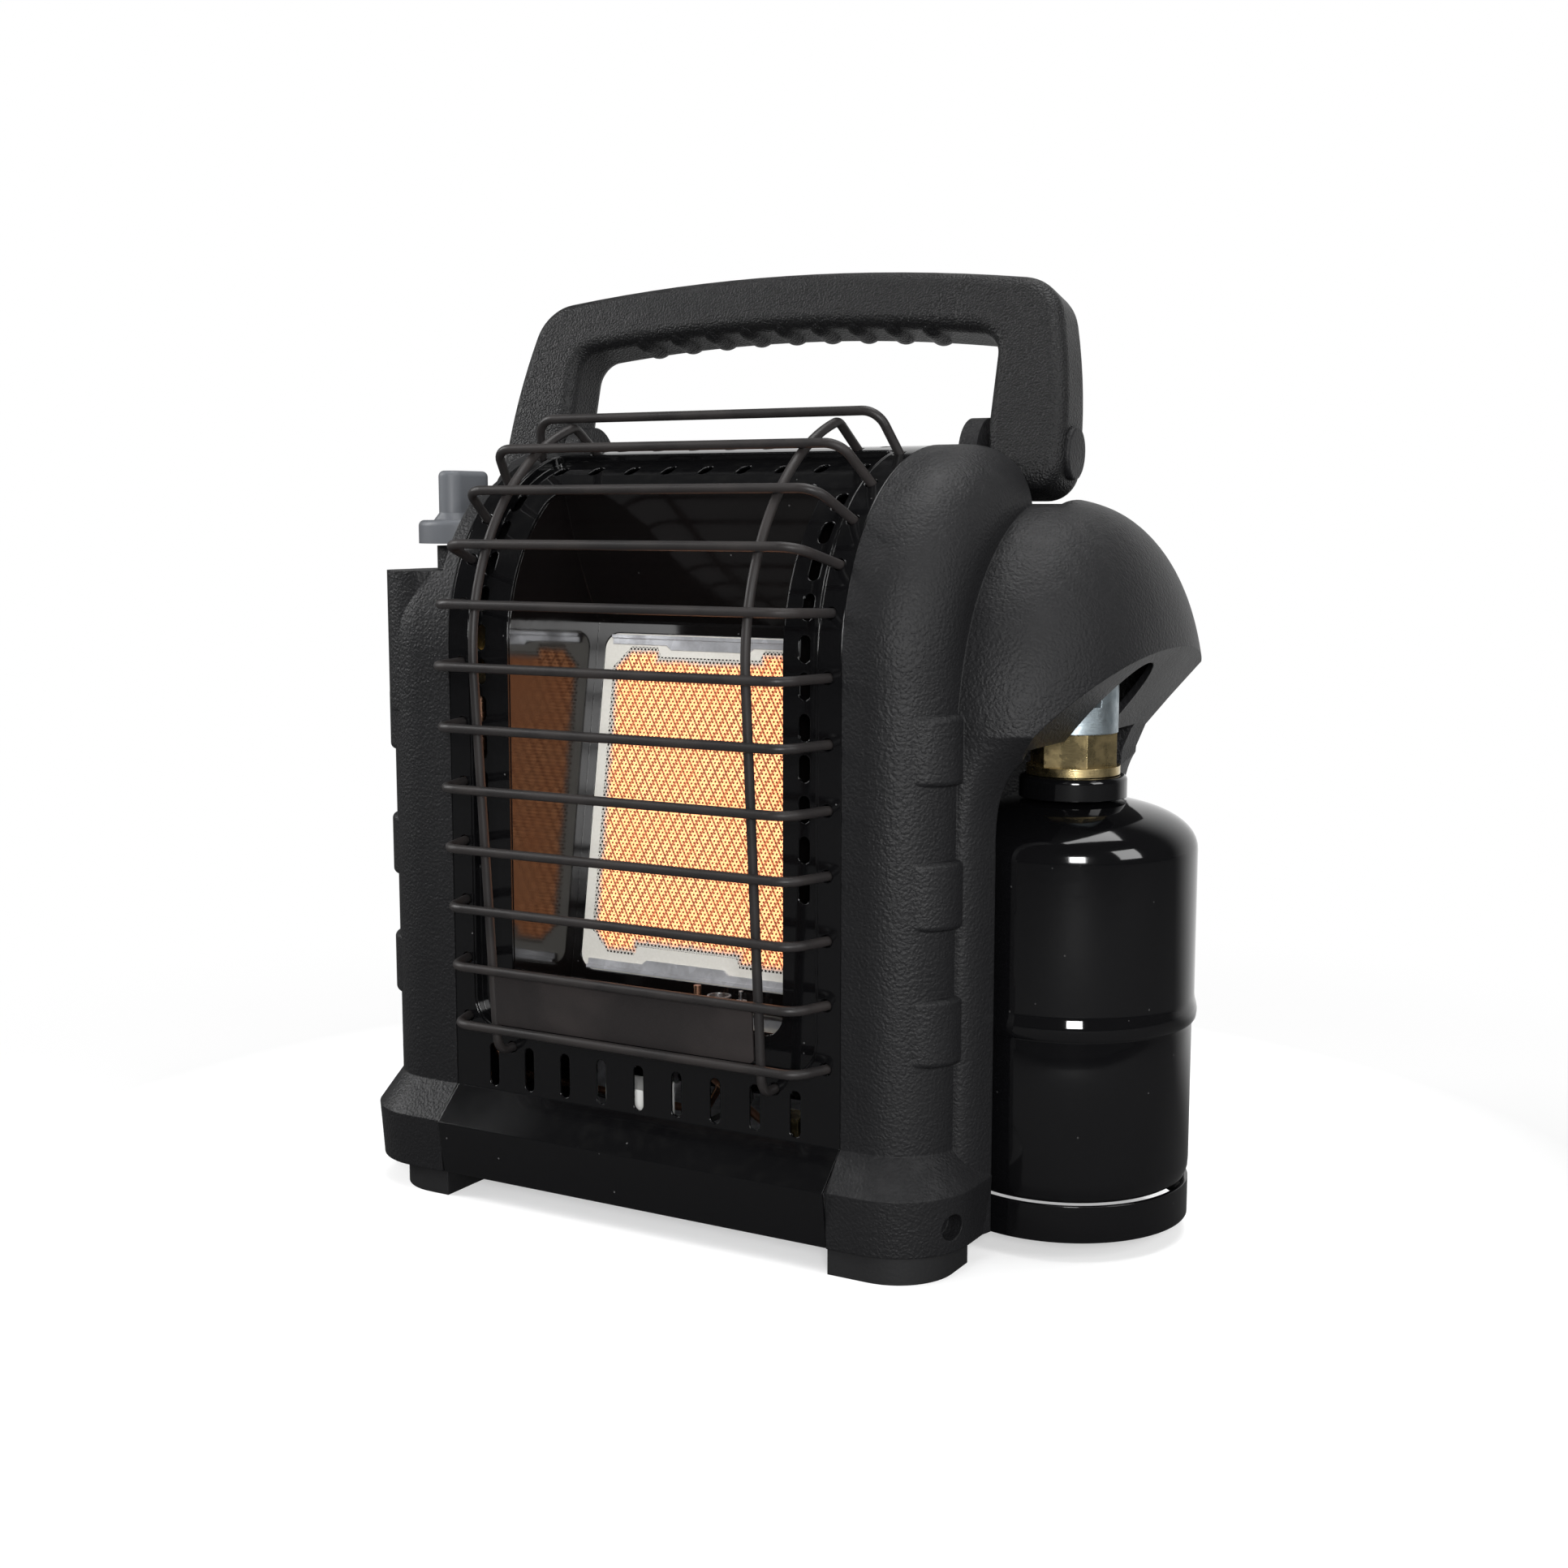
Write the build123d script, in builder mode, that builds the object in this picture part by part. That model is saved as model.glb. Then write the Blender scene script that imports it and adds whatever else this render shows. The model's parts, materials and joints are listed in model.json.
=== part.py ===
from build123d import *
import math
import os

os.makedirs("parts", exist_ok=True)

# Portable propane heater: a sheet steel casing between two plastic housings, a
# ceramic burner in a reflector behind a wire guard, a folding carrying handle, a
# control knob on the left shoulder and a one pound cylinder on a swing-out regulator.
# Millimetres, +Z up, +X to the heater's right as its front is faced, +Y to the back.
# Places are measured from the casing's middle, from the sill's nose and from the floor.

# ---------------------------------------------------------------- driving sizes

# casing
casing_half = 92.5            # middle to the side edge of the front sheet
sheet = 1.0
front_y = 14.3                # front face, behind the sill's nose
arch_radius = 82.7
arch_z = 232.0                # height of the arch's axis
front_sheet_end = 118.0       # degrees round the arch, from the front, where the sheet ends
base_z = 11.0
nose_z = 33.5
sill_top_z = 46.7
sill_foot_y = 3.7
seam = 0.3                    # open joint between fitted sheets and housings
cut_over = 1.0                # how far a cut runs on past the face that it opens
rear_fold = 12.0              # flange along the rear panel's foot
sheet_end_gap = 0.4           # degrees round the arch, from the front sheet to the rear panel

# window in the front sheet, and the slotted surround that is set into it
window_half = 82.6
window_low_z = 72.0
window_end = 77.0             # degrees round the arch
window_corner = 15.0
window_top_corner = 5.0
surround_depth = 3.7
surround_gap = 0.2
mouth_half = 65.2             # the fire opening in the surround
mouth_low_z = 86.0
mouth_top_z = 299.0
mouth_corner = 9.0

# slots
slot_width = 4.8
slot_pitch = 18.2
slot_count = 9
sill_slot_low_z = 48.5
sill_slot_length = 18.5
side_slot_x = {-1: 79.0, 1: 74.6}
side_slot_length = 10.5
side_slot_pitch = 15.6
side_slot_low_z = 145.0
side_slot_count = 6
side_slot_arch_angles = (3.7, 15.3, 26.6, 38.0, 49.5)
row_slot_length = 9.0
row_slot_angle = 68.5
top_slot_angle = 86.5
top_slot_length = 13.0
slot_reach = 5.5              # how deep a slot is punched either side of the skin
rear_slot_z = (60.0, 215.0)
rear_slot_length = 30.0
rear_screws = ((-85.0, 40.0), (85.0, 40.0), (-85.0, 130.0), (85.0, 130.0), (-85.0, 215.0), (85.0, 215.0))

# base
base_screws = ((-80.0, 22.0), (80.0, 22.0), (-80.0, 165.0), (70.0, 165.0))
rib_x = 48.0
rib_width = 6.0
rib_length = 120.0
rib_height = 2.0

# housings
housing_gap = 0.3             # between the casing's edge and a housing
side_half = {-1: 136.3, 1: 130.0}     # middle to each housing's flat side
roll = 26.0                   # rounding of the housing's outer edge
wall = 3.0
skirt_half = {-1: 143.0, 1: 139.3}
skirt_front_y = 1.4
skirt_corner = 33.0
skirt_foot_in = 1.6           # how far the skirt draws in again at its foot
pod_low_z = 205.0             # upright shoulder pod beside the left arch
pod_inner = 102.0
pod_outer = 135.0
pod_front_y = 16.5
pod_round = 15.0
shoulder_z = 264.0            # left housing's flat shoulder under the knob
shoulder_half = 100.0
shoulder_back_y = 100.0
bump_z = (93.8, 146.0, 200.5)
bump_height = 26.5
bump_proud = 2.8
bump_fillet = 2.4
bump_radius = 18.2
bump_turn = 72.0              # degrees from straight ahead that a pad looks out

# dome over the cylinder
dome_x = 129.0                # plane where the dome leaves the housing's side
dome_root_x = 104.0           # how far its straight root runs in under the rounding
dome_y = 124.4
dome_z = 205.7
dome_reach = 55.9
dome_radius = 88.3
dome_power = 2.42             # roundness of its section: 2 is an ellipse
flank_reach = 15.0            # reach of the housing's flank below the dome
flank_rise = ((160.0, 0.0), (172.0, 0.01), (181.0, 0.07), (189.0, 0.2), (196.0, 0.42), (201.5, 0.7))
under_edge = ((145.0, 168.0), (147.0, 189.0), (151.0, 198.5), (161.5, 211.0), (184.0, 236.5), (206.0, 261.0))

# cylinder well
cylinder_x = 147.5
cylinder_y = 107.0
well_radius = 56.0
well_top_z = 200.0
neck_slot_half = 21.0         # half width of the slot that the regulator's stem swings in
neck_slot_end_x = 178.5
neck_slot_inner_x = 128.0
neck_slot_top_z = 240.0

# wire guard
wire = 3.8
guard_y = 88.0                # axis of the guard's arch
guard_radius = 98.4
guard_low_y = 0.3
guard_low_z = 77.3
guard_pitch = 25.0
guard_lean = 4.06             # forward lean of the straight part, degrees
guard_straight_bars = 7
guard_arch_angles = (11.6, 26.3, 41.4, 56.6, 76.0)
bar_half = 81.0
bar_bend = 9.0
bar_foot_x = 87.4
bar_foot_tilt = 4.0
upright_x = 63.4
upright_foot_z = 66.5
upright_back_y = 86.0
wire_tail = 4.0               # how far a wire's end goes in behind the sheet
wire_hole_clearance = 0.5
weld_gap = 0.05
plate_sheet = 1.0
plate_half = 61.4
plate_inset = 1.7
plate_corner = 2.0
upright_bend = 7.0

# burner
tile_lean = 9.0
tile_foot_y = 60.0
tile_foot_z = 92.0
tile_width = 121.0
tile_height = 146.0
tile_thickness = 13.0
tile_corner = 7.0
chamber_half = 65.0
chamber_step = 1.0            # the chamber's floor above the mouth's low edge
cheek_lap = 1.2               # how far a cheek laps behind the hood's foot
hood_top_y = 58.5
hood_top_z = 299.2
hood_bow = 2.0
plenum_margin = 3.5
plenum_depth = 30.0
frame_margin = 4.5            # rim of the reflector round the tile, above and below
gasket_width = 7.0
gasket_thickness = 1.5
bracket_sheet = 1.2
bracket_half = 56.0
bracket_inset = 0.7           # from the tile's end to the bracket's edge
bracket_height = 4.0
bracket_lip = 1.5
bracket_rise = 1.3
tongue_x = -6.8               # middle of the brackets' tongues
tongue_half = 19.2
tongue_drop = 1.9
tongue_slope = 2.3
venturi_radius = 9.5
venturi_x = 30.0
venturi_y = 88.0
venturi_z = 62.0
pilot_x = 17.0
pilot_y = 49.0
pilot_hole = 34.0
pilot_hole_depth = 18.0
pilot_radius = 5.0
pilot_low_z = 74.0
pilot_top_z = 91.0
pilot_spacing = 10.5          # from the pilot to the thermocouple and to the electrode
pilot_plate = 1.2
electrode_radius = 2.5
electrode_tip_radius = 0.8
orifice_x = -72.0
orifice_flats = 11.0
orifice_length = 14.0
orifice_plate = 1.5
orifice_plate_width = 20.0
orifice_plate_top_z = 73.0
venturi_start_x = -66.0
venturi_wall = 1.0
venturi_bend = 18.0
venturi_top_z = 96.0
venturi_port_rise = 12.0      # the plenum's port above the tile's foot
orifice_foot = 16.0

# handle
pivot_y = 124.0
pivot_z = 311.5
lean = 15.0
handle_half = 138.3           # middle to the outer side of an arm, at its pivot
arm_inner = 104.0
handle_thickness = 26.0
handle_seam = -1.0            # seam between the shells, from the pivot plane
arm_end = 17.5                # below the pivot
arm_end_round = 12.0
arm_straight_end = -5.0       # where an arm's outer side starts to bow in
arm_bow = (134.9, 35.0)       # a place on its bow
handle_corner = (126.5, 70.0)
handle_corner_round = 21.0
corner_in = (0.78, 0.9)       # how a corner moves in and down for each mm of inset
grip_top = 79.1
grip_under = 54.6
grip_under_end = 47.7
grip_corner_round = 10.0
handle_edge = 6.0
ridge_pitch = 17.9
ridge_count = 9
ridge_proud = 2.3
ridge_radius = 5.6
ridge_core = 3.5              # depth of a ridge's section
ridge_bend = 9.0              # how it turns up in front
ridge_set = 0.4               # how far its front end lies under the face
lug_radius = 15.0
lug_inner = 94.5
lug_outer = 102.5
pivot_pin_radius = 4.0
pivot_clearance = 0.05
cap_height = 21.6
cap_width = 18.0
cap_depth = 5.0
cap_proud = 1.8
cap_round = 1.0
screw_post_radius = 5.0
arm_core_low = 13.0           # low end of the arms' hollow
handle_screws = ((-120.0, 34.0), (-62.0, 64.0), (62.0, 64.0), (120.0, 34.0))
pocket_gap = 0.5
pocket_front_y = 103.0
pocket_floor_z = 291.5

# control knob and valve
knob_x = -115.0
knob_y = 54.0
knob_radius = 19.5
knob_low_z = 275.0
knob_skirt = 10.0
knob_top_z = 306.0
knob_blade = 11.0
knob_push = 6.0
knob_gap = 0.8
knob_recess_wall = 2.0
knob_round = 2.5
knob_flare = 3.0
knob_blade_reach = 16.5
knob_blade_corner = 5.4
knob_wall = 2.5
knob_hub = 2.0
stem_top_z = 291.0
boss_radius = 11.8
boss_top_z = 274.0
stem_radius = 3.2
stem_clearance = 0.06
valve_low_z = 212.0
valve_half = 11.5
valve_plate_z = 246.0
valve_screw_y = (35.0, 96.0)
valve_boss_radius = 4.0
valve_plate_width = 20.0
valve_inlet_z = 228.0
valve_port_radius = 6.0
valve_port_length = 7.0
piezo_y = 82.0
piezo_width = 13.0
piezo_height = 30.0
moulding_round = 2.0          # upright edges of the small moulded pieces
burner_tube_in = 1.0          # the burner tube in from the valve's side

# regulator and cylinder
swing_x = 140.0
swing_z = 236.0
drum_radius = 23.0
drum_front_y = 92.0
drum_back_y = 121.0
cover_back_y = 98.0           # joint between the regulator's body and its cover
chamber_depth = 6.0
drum_round = 2.0
drum_stem_top_z = 226.0
spring_tower_radius = 11.0
tower_front_y = 80.0
swivel_top_z = 250.0
swivel_inner_x = 118.0
swivel_outer_x = 149.0
swivel_sheet = 2.5
swivel_foot = 18.0
swivel_gap = 1.3              # from the neck's slot to the swivel's bracket
stem_r = 17.5
stem_low_z = 202.0
spigot_radius = 6.0
spigot_clearance = 0.05
spigot_front_y = 107.0
spigot_end_y = 150.0
spigot_flange = 2.7
spigot_flange_radius = 9.0
supply_back_y = 164.0
supply_bend = 11.0
supply_turn_x = -82.0
nut_turn = 10.0
seal_bore = 5.0
nut_flats = 30.0
nut_low_z = 185.3
nut_flange = 18.6
nut_flange_height = 3.4
thread_radius = 12.7
thread_clearance = 0.08
cylinder_radius = 50.8
cylinder_low_z = 8.0
cylinder_ring_radius = 48.9
cylinder_ring_top_z = 22.6
cylinder_wall_top_z = 157.0
cylinder_dome_z = 176.0
cylinder_wall = 1.6
collar_radius = 21.5
cylinder_belly = 8.0
cylinder_knuckle = 4.0
neck_wall = 5.0
neck_top_z = 197.1
cylinder_shoulder = ((0.885, 0.52), (0.64, 0.82))    # shares of its radius and of its rise

# feet, tubes and fasteners
foot_inner_x = 92.0
foot_outer_x = {-1: 126.0, 1: 133.0}
foot_front_y = 5.5
foot_depth = 38.0
foot_corner = 24.0
foot_stud_radius = 4.0
stud_x = 104.0
stud_y = 20.0
recess_z = 21.0               # screw recess in the right skirt's corner
recess_turn = 21.0            # degrees that it looks forwards of the side
recess_radius = 5.2
recess_depth = 8.0
tube_radius = 4.0
tube_wall = 0.8
small_tube_radius = 1.6
burner_tube_radius = 3.2
lead_radius = 1.2
lead_low_y = 14.0
lead_low_z = 20.0
junction_x = 62.0
junction_y = 31.0
junction_z = 46.0
junction_half = 6.0
thermocouple_bend_z = 60.0
lead_back = 5.0
lead_rise = 10.0
lead_run = 16.0
lead_turn_x = -84.0
lead_drop = (-7.0, -8.0, 70.0)    # beside the knob's axis, behind it, and height
pilot_route_y = 50.0
pilot_route = ((-95.0, 44.0), (9.0, 40.0))    # x and height of its bends along the floor
pilot_drop_z = 90.0
pilot_rise_z = 52.0
ignition_low_z = 190.0
ignition_turn = (-100.0, 120.0)
ignition_route = ((-80.0, 60.0, 40.0), (0.0, 61.0, 30.0))
ignition_rise = ((58.0, 46.0), (49.0, 60.0))
switch_x = -11.0
switch_y = 32.0
switch_width = 24.0
switch_depth = 18.0
switch_height = 42.0
screw_length = 8.0
screw_radius = 1.9
screw_head = 3.9
screw_head_height = 2.2
screw_clearance = 0.2

# ---------------------------------------------------------------- derived sizes

arch_y = front_y + arch_radius
back_y = arch_y + arch_radius
housing_inner = casing_half + housing_gap
housing_arch = arch_radius + seam
housing_front_y = arch_y - housing_arch
housing_back_y = arch_y + housing_arch
wire_radius = wire / 2
right_reach = max(cylinder_x + cylinder_radius, dome_x + dome_reach)
front_reach = max(guard_radius + wire_radius - guard_y, 0)
left_reach = max(skirt_half[-1], handle_half + cap_proud)
mid_x = -(right_reach - left_reach) / 2
rear_reach = max(housing_back_y, back_y + screw_head_height)
nose_y = -(rear_reach - front_reach) / 2
SIDES = (-1, 1)


# ---------------------------------------------------------------- planes and shared shapes

def level(z):
    """Horizontal plane at a height; its x and y are the heater's own."""
    return Plane(origin=(mid_x, nose_y, z), x_dir=(1, 0, 0), z_dir=(0, 0, 1))


def facing_front(y):
    """Upright plane that looks forwards; its x is the heater's x, its y is height."""
    return Plane(origin=(mid_x, nose_y + y, 0), x_dir=(1, 0, 0), z_dir=(0, -1, 0))


def facing_side(x):
    """Upright plane that looks to the right; its x is the heater's y, its y is height."""
    return Plane(origin=(mid_x + x, nose_y, 0), x_dir=(0, 1, 0), z_dir=(1, 0, 0))


def facing_back(y):
    """Upright plane that looks backwards; its x runs to the left, its y is height."""
    return Plane(origin=(mid_x, nose_y + y, 0), x_dir=(-1, 0, 0), z_dir=(0, 1, 0))


def facing_down(z):
    """Horizontal plane that looks down; its x is the heater's x, its y runs forwards."""
    return Plane(origin=(mid_x, nose_y, z), x_dir=(1, 0, 0), z_dir=(0, 0, -1))


def leaned(y, z, angle, offset=0.0):
    """Plane across the heater through (y, z) that leans back; its z looks forwards."""
    turn = math.radians(angle)
    plane = Plane(
        origin=(mid_x, nose_y + y, z), x_dir=(1, 0, 0),
        z_dir=(0, -math.cos(turn), math.sin(turn)),
    )
    return plane.offset(offset)


def round_arch(radius, angle, y=arch_y):
    """Point on an arch, at an angle that runs up and over from its front."""
    turn = math.radians(angle)
    return (y - radius * math.cos(turn), arch_z + radius * math.sin(turn))


def arch_skin(outer, inner, low_z, start, end):
    """Side view of a skin between two depths below the casing, from low_z round to end."""
    near, far = arch_radius - outer, arch_radius - inner
    middle = (start + end) / 2
    with BuildLine() as outline:
        if start == 0:
            Polyline((arch_y - far, arch_z), (arch_y - far, low_z), (arch_y - near, low_z),
                     (arch_y - near, arch_z))
        else:
            Line(round_arch(far, start), round_arch(near, start))
        ThreePointArc(round_arch(near, start), round_arch(near, middle), round_arch(near, end))
        Line(round_arch(near, end), round_arch(far, end))
        ThreePointArc(round_arch(far, end), round_arch(far, middle), round_arch(far, start))
    make_face(outline.edges())


def casing_outline(radius, low_z, front, back):
    """Side view of a body with the casing's upright sides and round top."""
    with BuildLine() as outline:
        Polyline((front, arch_z), (front, low_z), (back, low_z), (back, arch_z))
        ThreePointArc((front, arch_z), (arch_y, arch_z + radius), (back, arch_z))
    make_face(outline.edges())


def arch_slot(x, angle, length, width):
    """Cuts one slot through whatever skin lies under a place on the arch."""
    y, z = round_arch(arch_radius, angle)
    turn = math.radians(angle)
    place = Plane(
        origin=(mid_x + x, nose_y + y, z), x_dir=(1, 0, 0),
        z_dir=(0, -math.cos(turn), math.sin(turn)),
    )
    with BuildSketch(place) as slot:
        SlotOverall(length, width, rotation=90)
    extrude(slot.sketch, amount=slot_reach, both=True, mode=Mode.SUBTRACT)


def round_bar(plane, x, y, radius, start, end, mode=Mode.ADD):
    """Adds or cuts a round bar along a plane's normal."""
    with BuildSketch(plane.offset(start)) as section:
        with Locations((x, y)):
            Circle(radius)
    extrude(section.sketch, amount=end - start, mode=mode)


def pan_screw(plane, x, y, length):
    """Adds a pan head screw whose head stands on a plane, with its shank behind it."""
    round_bar(plane, x, y, screw_head, 0, screw_head_height)
    round_bar(plane, x, y, screw_radius, 0, -length)


# ---------------------------------------------------------------- casing

sill_slots = [((i - (slot_count - 1) / 2) * slot_pitch) for i in range(slot_count)]
guard_tilt = math.radians(guard_lean)
straight_bars = [
    (guard_low_y - i * guard_pitch * math.sin(guard_tilt),
     guard_low_z + i * guard_pitch * math.cos(guard_tilt))
    for i in range(guard_straight_bars)
]


def place(x, y, z):
    """A point of the heater, in the part's own frame."""
    return Vector(mid_x + x, nose_y + y, z)


def arch_foot(angle, depth):
    """Where a guard wire that comes in along an angle of the guard's arch meets the casing."""
    turn = math.radians(angle)
    shift = arch_y - guard_y
    reach = math.sqrt((arch_radius - depth) ** 2 - (shift * math.sin(turn)) ** 2) - shift * math.cos(turn)
    return round_arch(reach, angle, guard_y)


bar_rows = [((y, z), (front_y + wire_tail, z)) for y, z in straight_bars]
bar_rows += [(round_arch(guard_radius, a, guard_y), arch_foot(a + bar_foot_tilt, wire_tail))
             for a in guard_arch_angles]
upright_radius = guard_radius - wire - weld_gap
upright_low = (guard_low_y + wire + weld_gap + (guard_low_z - upright_foot_z) * math.tan(guard_tilt),
               upright_foot_z)
upright_turn = round_arch(upright_radius, guard_arch_angles[-1], guard_y)
upright_low_foot = (front_y + wire_tail, upright_foot_z)
upright_back = (upright_back_y,
                arch_z + math.sqrt((arch_radius - wire_tail) ** 2 - (arch_y - upright_back_y) ** 2))


def wire_hole(bend, foot):
    """Cuts the hole that a guard wire's leg goes through, from its bend to its end."""
    start = place(*foot)
    with BuildSketch(Plane(origin=start, z_dir=place(*bend) - start)) as hole:
        Circle(wire_radius + wire_hole_clearance)
    extrude(hole.sketch, amount=2 * wire_tail, mode=Mode.SUBTRACT)


gap_angle = math.degrees(surround_gap / arch_radius)
sheet_angle = math.degrees(sheet / arch_radius)


def window_block(outer, inner, inset, end):
    """Adds a bent block in the window, between two depths and drawn in from the window's edge."""
    with BuildSketch(facing_side(inset - window_half)) as section:
        arch_skin(outer, inner, window_low_z + inset, 0, end)
    extrude(section.sketch, amount=2 * (window_half - inset))


def round_window(block, inset):
    """Rounds a window block's four corners."""
    fillet(block.edges().filter_by(Axis.Y).group_by(Axis.Z)[0], window_corner - inset)
    fillet(block.faces().sort_by(Axis.Y)[-1].edges().filter_by(Axis.X, reverse=True),
           window_top_corner - inset)


with BuildPart() as window:
    window_block(-sheet, 2 * sheet, 0, window_end)
    round_window(window, 0)

with BuildPart() as front_panel:
    with BuildSketch(facing_side(-casing_half)):
        with BuildLine():
            outer = Polyline((sill_foot_y, base_z), (0, nose_z), (front_y, sill_top_z), (front_y, arch_z))
            ThreePointArc((front_y, arch_z), round_arch(arch_radius, front_sheet_end / 2),
                          round_arch(arch_radius, front_sheet_end))
            offset(amount=sheet, side=Side.RIGHT)
        make_face()
    extrude(amount=2 * casing_half)
    add(window.part, mode=Mode.SUBTRACT)
    for x in sill_slots:
        with BuildSketch(facing_front(front_y)):
            with Locations((x, sill_slot_low_z + sill_slot_length / 2)):
                SlotOverall(sill_slot_length, slot_width, rotation=90)
        extrude(amount=-2 * sheet, both=True, mode=Mode.SUBTRACT)
        arch_slot(x, top_slot_angle, top_slot_length, slot_width)
    for side in SIDES:
        for bend, foot in bar_rows:
            wire_hole((side * bar_half, *bend), (side * bar_foot_x, *foot))
        for bend, foot in ((upright_low, upright_low_foot), (upright_turn, upright_back)):
            wire_hole((side * upright_x, *bend), (side * upright_x, *foot))
front_panel.part.label = "front_panel"
export_step(front_panel.part, "parts/front_panel.step")

with BuildPart() as rear_panel:
    with BuildSketch(facing_side(-casing_half)):
        with BuildLine():
            Polyline((back_y - rear_fold, base_z + sheet + surround_gap),
                     (back_y, base_z + sheet + surround_gap), (back_y, arch_z))
            ThreePointArc((back_y, arch_z), round_arch(arch_radius, 90 + front_sheet_end / 2),
                          round_arch(arch_radius, front_sheet_end + sheet_end_gap))
            offset(amount=sheet, side=Side.LEFT)
        make_face()
    extrude(amount=2 * casing_half)
    for x in sill_slots:
        for z in rear_slot_z:
            with BuildSketch(facing_front(back_y)):
                with Locations((x, z)):
                    SlotOverall(rear_slot_length, slot_width, rotation=90)
            extrude(amount=2 * sheet, both=True, mode=Mode.SUBTRACT)
    for x, z in rear_screws:
        round_bar(facing_front(back_y), x, z, screw_radius + screw_clearance, -sheet, 2 * sheet,
                  Mode.SUBTRACT)
rear_panel.part.label = "rear_panel"
export_step(rear_panel.part, "parts/rear_panel.step")

with BuildPart() as base_pan:
    with BuildSketch(level(base_z)):
        with Locations((0, (sill_foot_y + back_y) / 2)):
            Rectangle(2 * casing_half, back_y - sill_foot_y - 2 * sheet - 2 * surround_gap)
        with Locations((cylinder_x, cylinder_y)):
            Circle(well_radius + wall + seam, mode=Mode.SUBTRACT)
        with Locations(*base_screws):
            Circle(screw_radius + screw_clearance, mode=Mode.SUBTRACT)
    extrude(amount=sheet)
    with BuildSketch(level(base_z + sheet)):
        with GridLocations(2 * rib_x, 0, 2, 1):
            with Locations((0, (sill_foot_y + back_y) / 2)):
                Rectangle(rib_width, rib_length)
    extrude(amount=rib_height)
base_pan.part.label = "base_pan"
export_step(base_pan.part, "parts/base_pan.step")

# ---------------------------------------------------------------- surround and fire chamber

with BuildPart() as tray_hollow:
    window_block(-sheet, surround_depth, surround_gap + sheet, window_end - gap_angle - sheet_angle)
    round_window(tray_hollow, surround_gap + sheet)

with BuildPart() as slotted_surround:
    window_block(surround_gap, surround_depth + sheet, surround_gap, window_end - gap_angle)
    round_window(slotted_surround, surround_gap)
    add(tray_hollow.part, mode=Mode.SUBTRACT)
    with BuildSketch(facing_front(0)) as mouth:
        with Locations((0, (mouth_low_z + mouth_top_z) / 2)):
            RectangleRounded(2 * mouth_half, mouth_top_z - mouth_low_z, mouth_corner)
    extrude(amount=-arch_y, mode=Mode.SUBTRACT)
    for side in SIDES:
        for i in range(side_slot_count):
            with BuildSketch(facing_front(front_y)):
                with Locations((side * side_slot_x[side], side_slot_low_z + i * side_slot_pitch)):
                    SlotOverall(side_slot_length, slot_width, rotation=90)
            extrude(amount=-slot_reach, mode=Mode.SUBTRACT)
        for angle in side_slot_arch_angles:
            arch_slot(side * side_slot_x[side], angle, side_slot_length, slot_width)
    for x in sill_slots:
        arch_slot(x, row_slot_angle, row_slot_length, slot_width)
slotted_surround.part.label = "slotted_surround"
export_step(slotted_surround.part, "parts/slotted_surround.step")

tile_face = leaned(tile_foot_y, tile_foot_z, tile_lean)
tile_rise = math.radians(tile_lean)


def tile_point(up, forward=0.0):
    """Side view point on the leaned burner, from its foot and from its front face."""
    return (tile_foot_y + up * math.sin(tile_rise) - forward * math.cos(tile_rise),
            tile_foot_z + up * math.cos(tile_rise) + forward * math.sin(tile_rise))


chamber_front_y = front_y + surround_depth + sheet
chamber_radius = arch_radius - surround_depth - sheet - seam
cheek_end = math.degrees(math.acos((arch_y - hood_top_y + 2 * sheet) / chamber_radius))
hood_foot = tile_point(tile_height + frame_margin)
frame_foot = tile_point(-frame_margin)
hood_middle = ((hood_top_y + hood_foot[0]) / 2 - hood_bow, (hood_top_z + hood_foot[1]) / 2 - hood_bow / 2)
chamber_low_z = mouth_low_z + chamber_step

with BuildPart() as reflector:
    with BuildSketch(facing_side(-chamber_half)):
        with BuildLine():
            ThreePointArc((hood_top_y, hood_top_z), hood_middle, hood_foot)
            Polyline(hood_foot, frame_foot, (frame_foot[0], chamber_low_z),
                     (chamber_front_y + seam, chamber_low_z))
            offset(amount=sheet, side=Side.LEFT)
        make_face()
    extrude(amount=2 * chamber_half)
    with BuildSketch(tile_face.offset(-2 * sheet)):
        with Locations((0, tile_height / 2)):
            RectangleRounded(tile_width + 2 * seam, tile_height + 2 * seam, tile_corner)
    extrude(amount=4 * sheet, mode=Mode.SUBTRACT)
    for side in SIDES:
        with BuildSketch(facing_side(side * chamber_half)):
            with BuildLine():
                Polyline((chamber_front_y + seam, arch_z), (chamber_front_y + seam, chamber_low_z - sheet),
                         (frame_foot[0] + sheet, chamber_low_z - sheet),
                         (frame_foot[0] + sheet, frame_foot[1]),
                         (hood_foot[0] + cheek_lap, hood_foot[1]), (hood_top_y + sheet, hood_top_z),
                         round_arch(chamber_radius, cheek_end))
                ThreePointArc(round_arch(chamber_radius, cheek_end),
                              round_arch(chamber_radius, cheek_end / 2), (chamber_front_y + seam, arch_z))
            make_face()
        extrude(amount=side * sheet)
    with BuildSketch(level(chamber_low_z - 2 * sheet)):
        with Locations((pilot_x, pilot_y)):
            Rectangle(pilot_hole, pilot_hole_depth)
    extrude(amount=3 * sheet, mode=Mode.SUBTRACT)
reflector.part.label = "reflector"
export_step(reflector.part, "parts/reflector.step")

with BuildPart() as burner_tile:
    with BuildSketch(tile_face):
        with Locations((0, tile_height / 2)):
            RectangleRounded(tile_width, tile_height, tile_corner)
    extrude(amount=-tile_thickness)
burner_tile.part.label = "burner_tile"
export_step(burner_tile.part, "parts/burner_tile.step")

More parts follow.
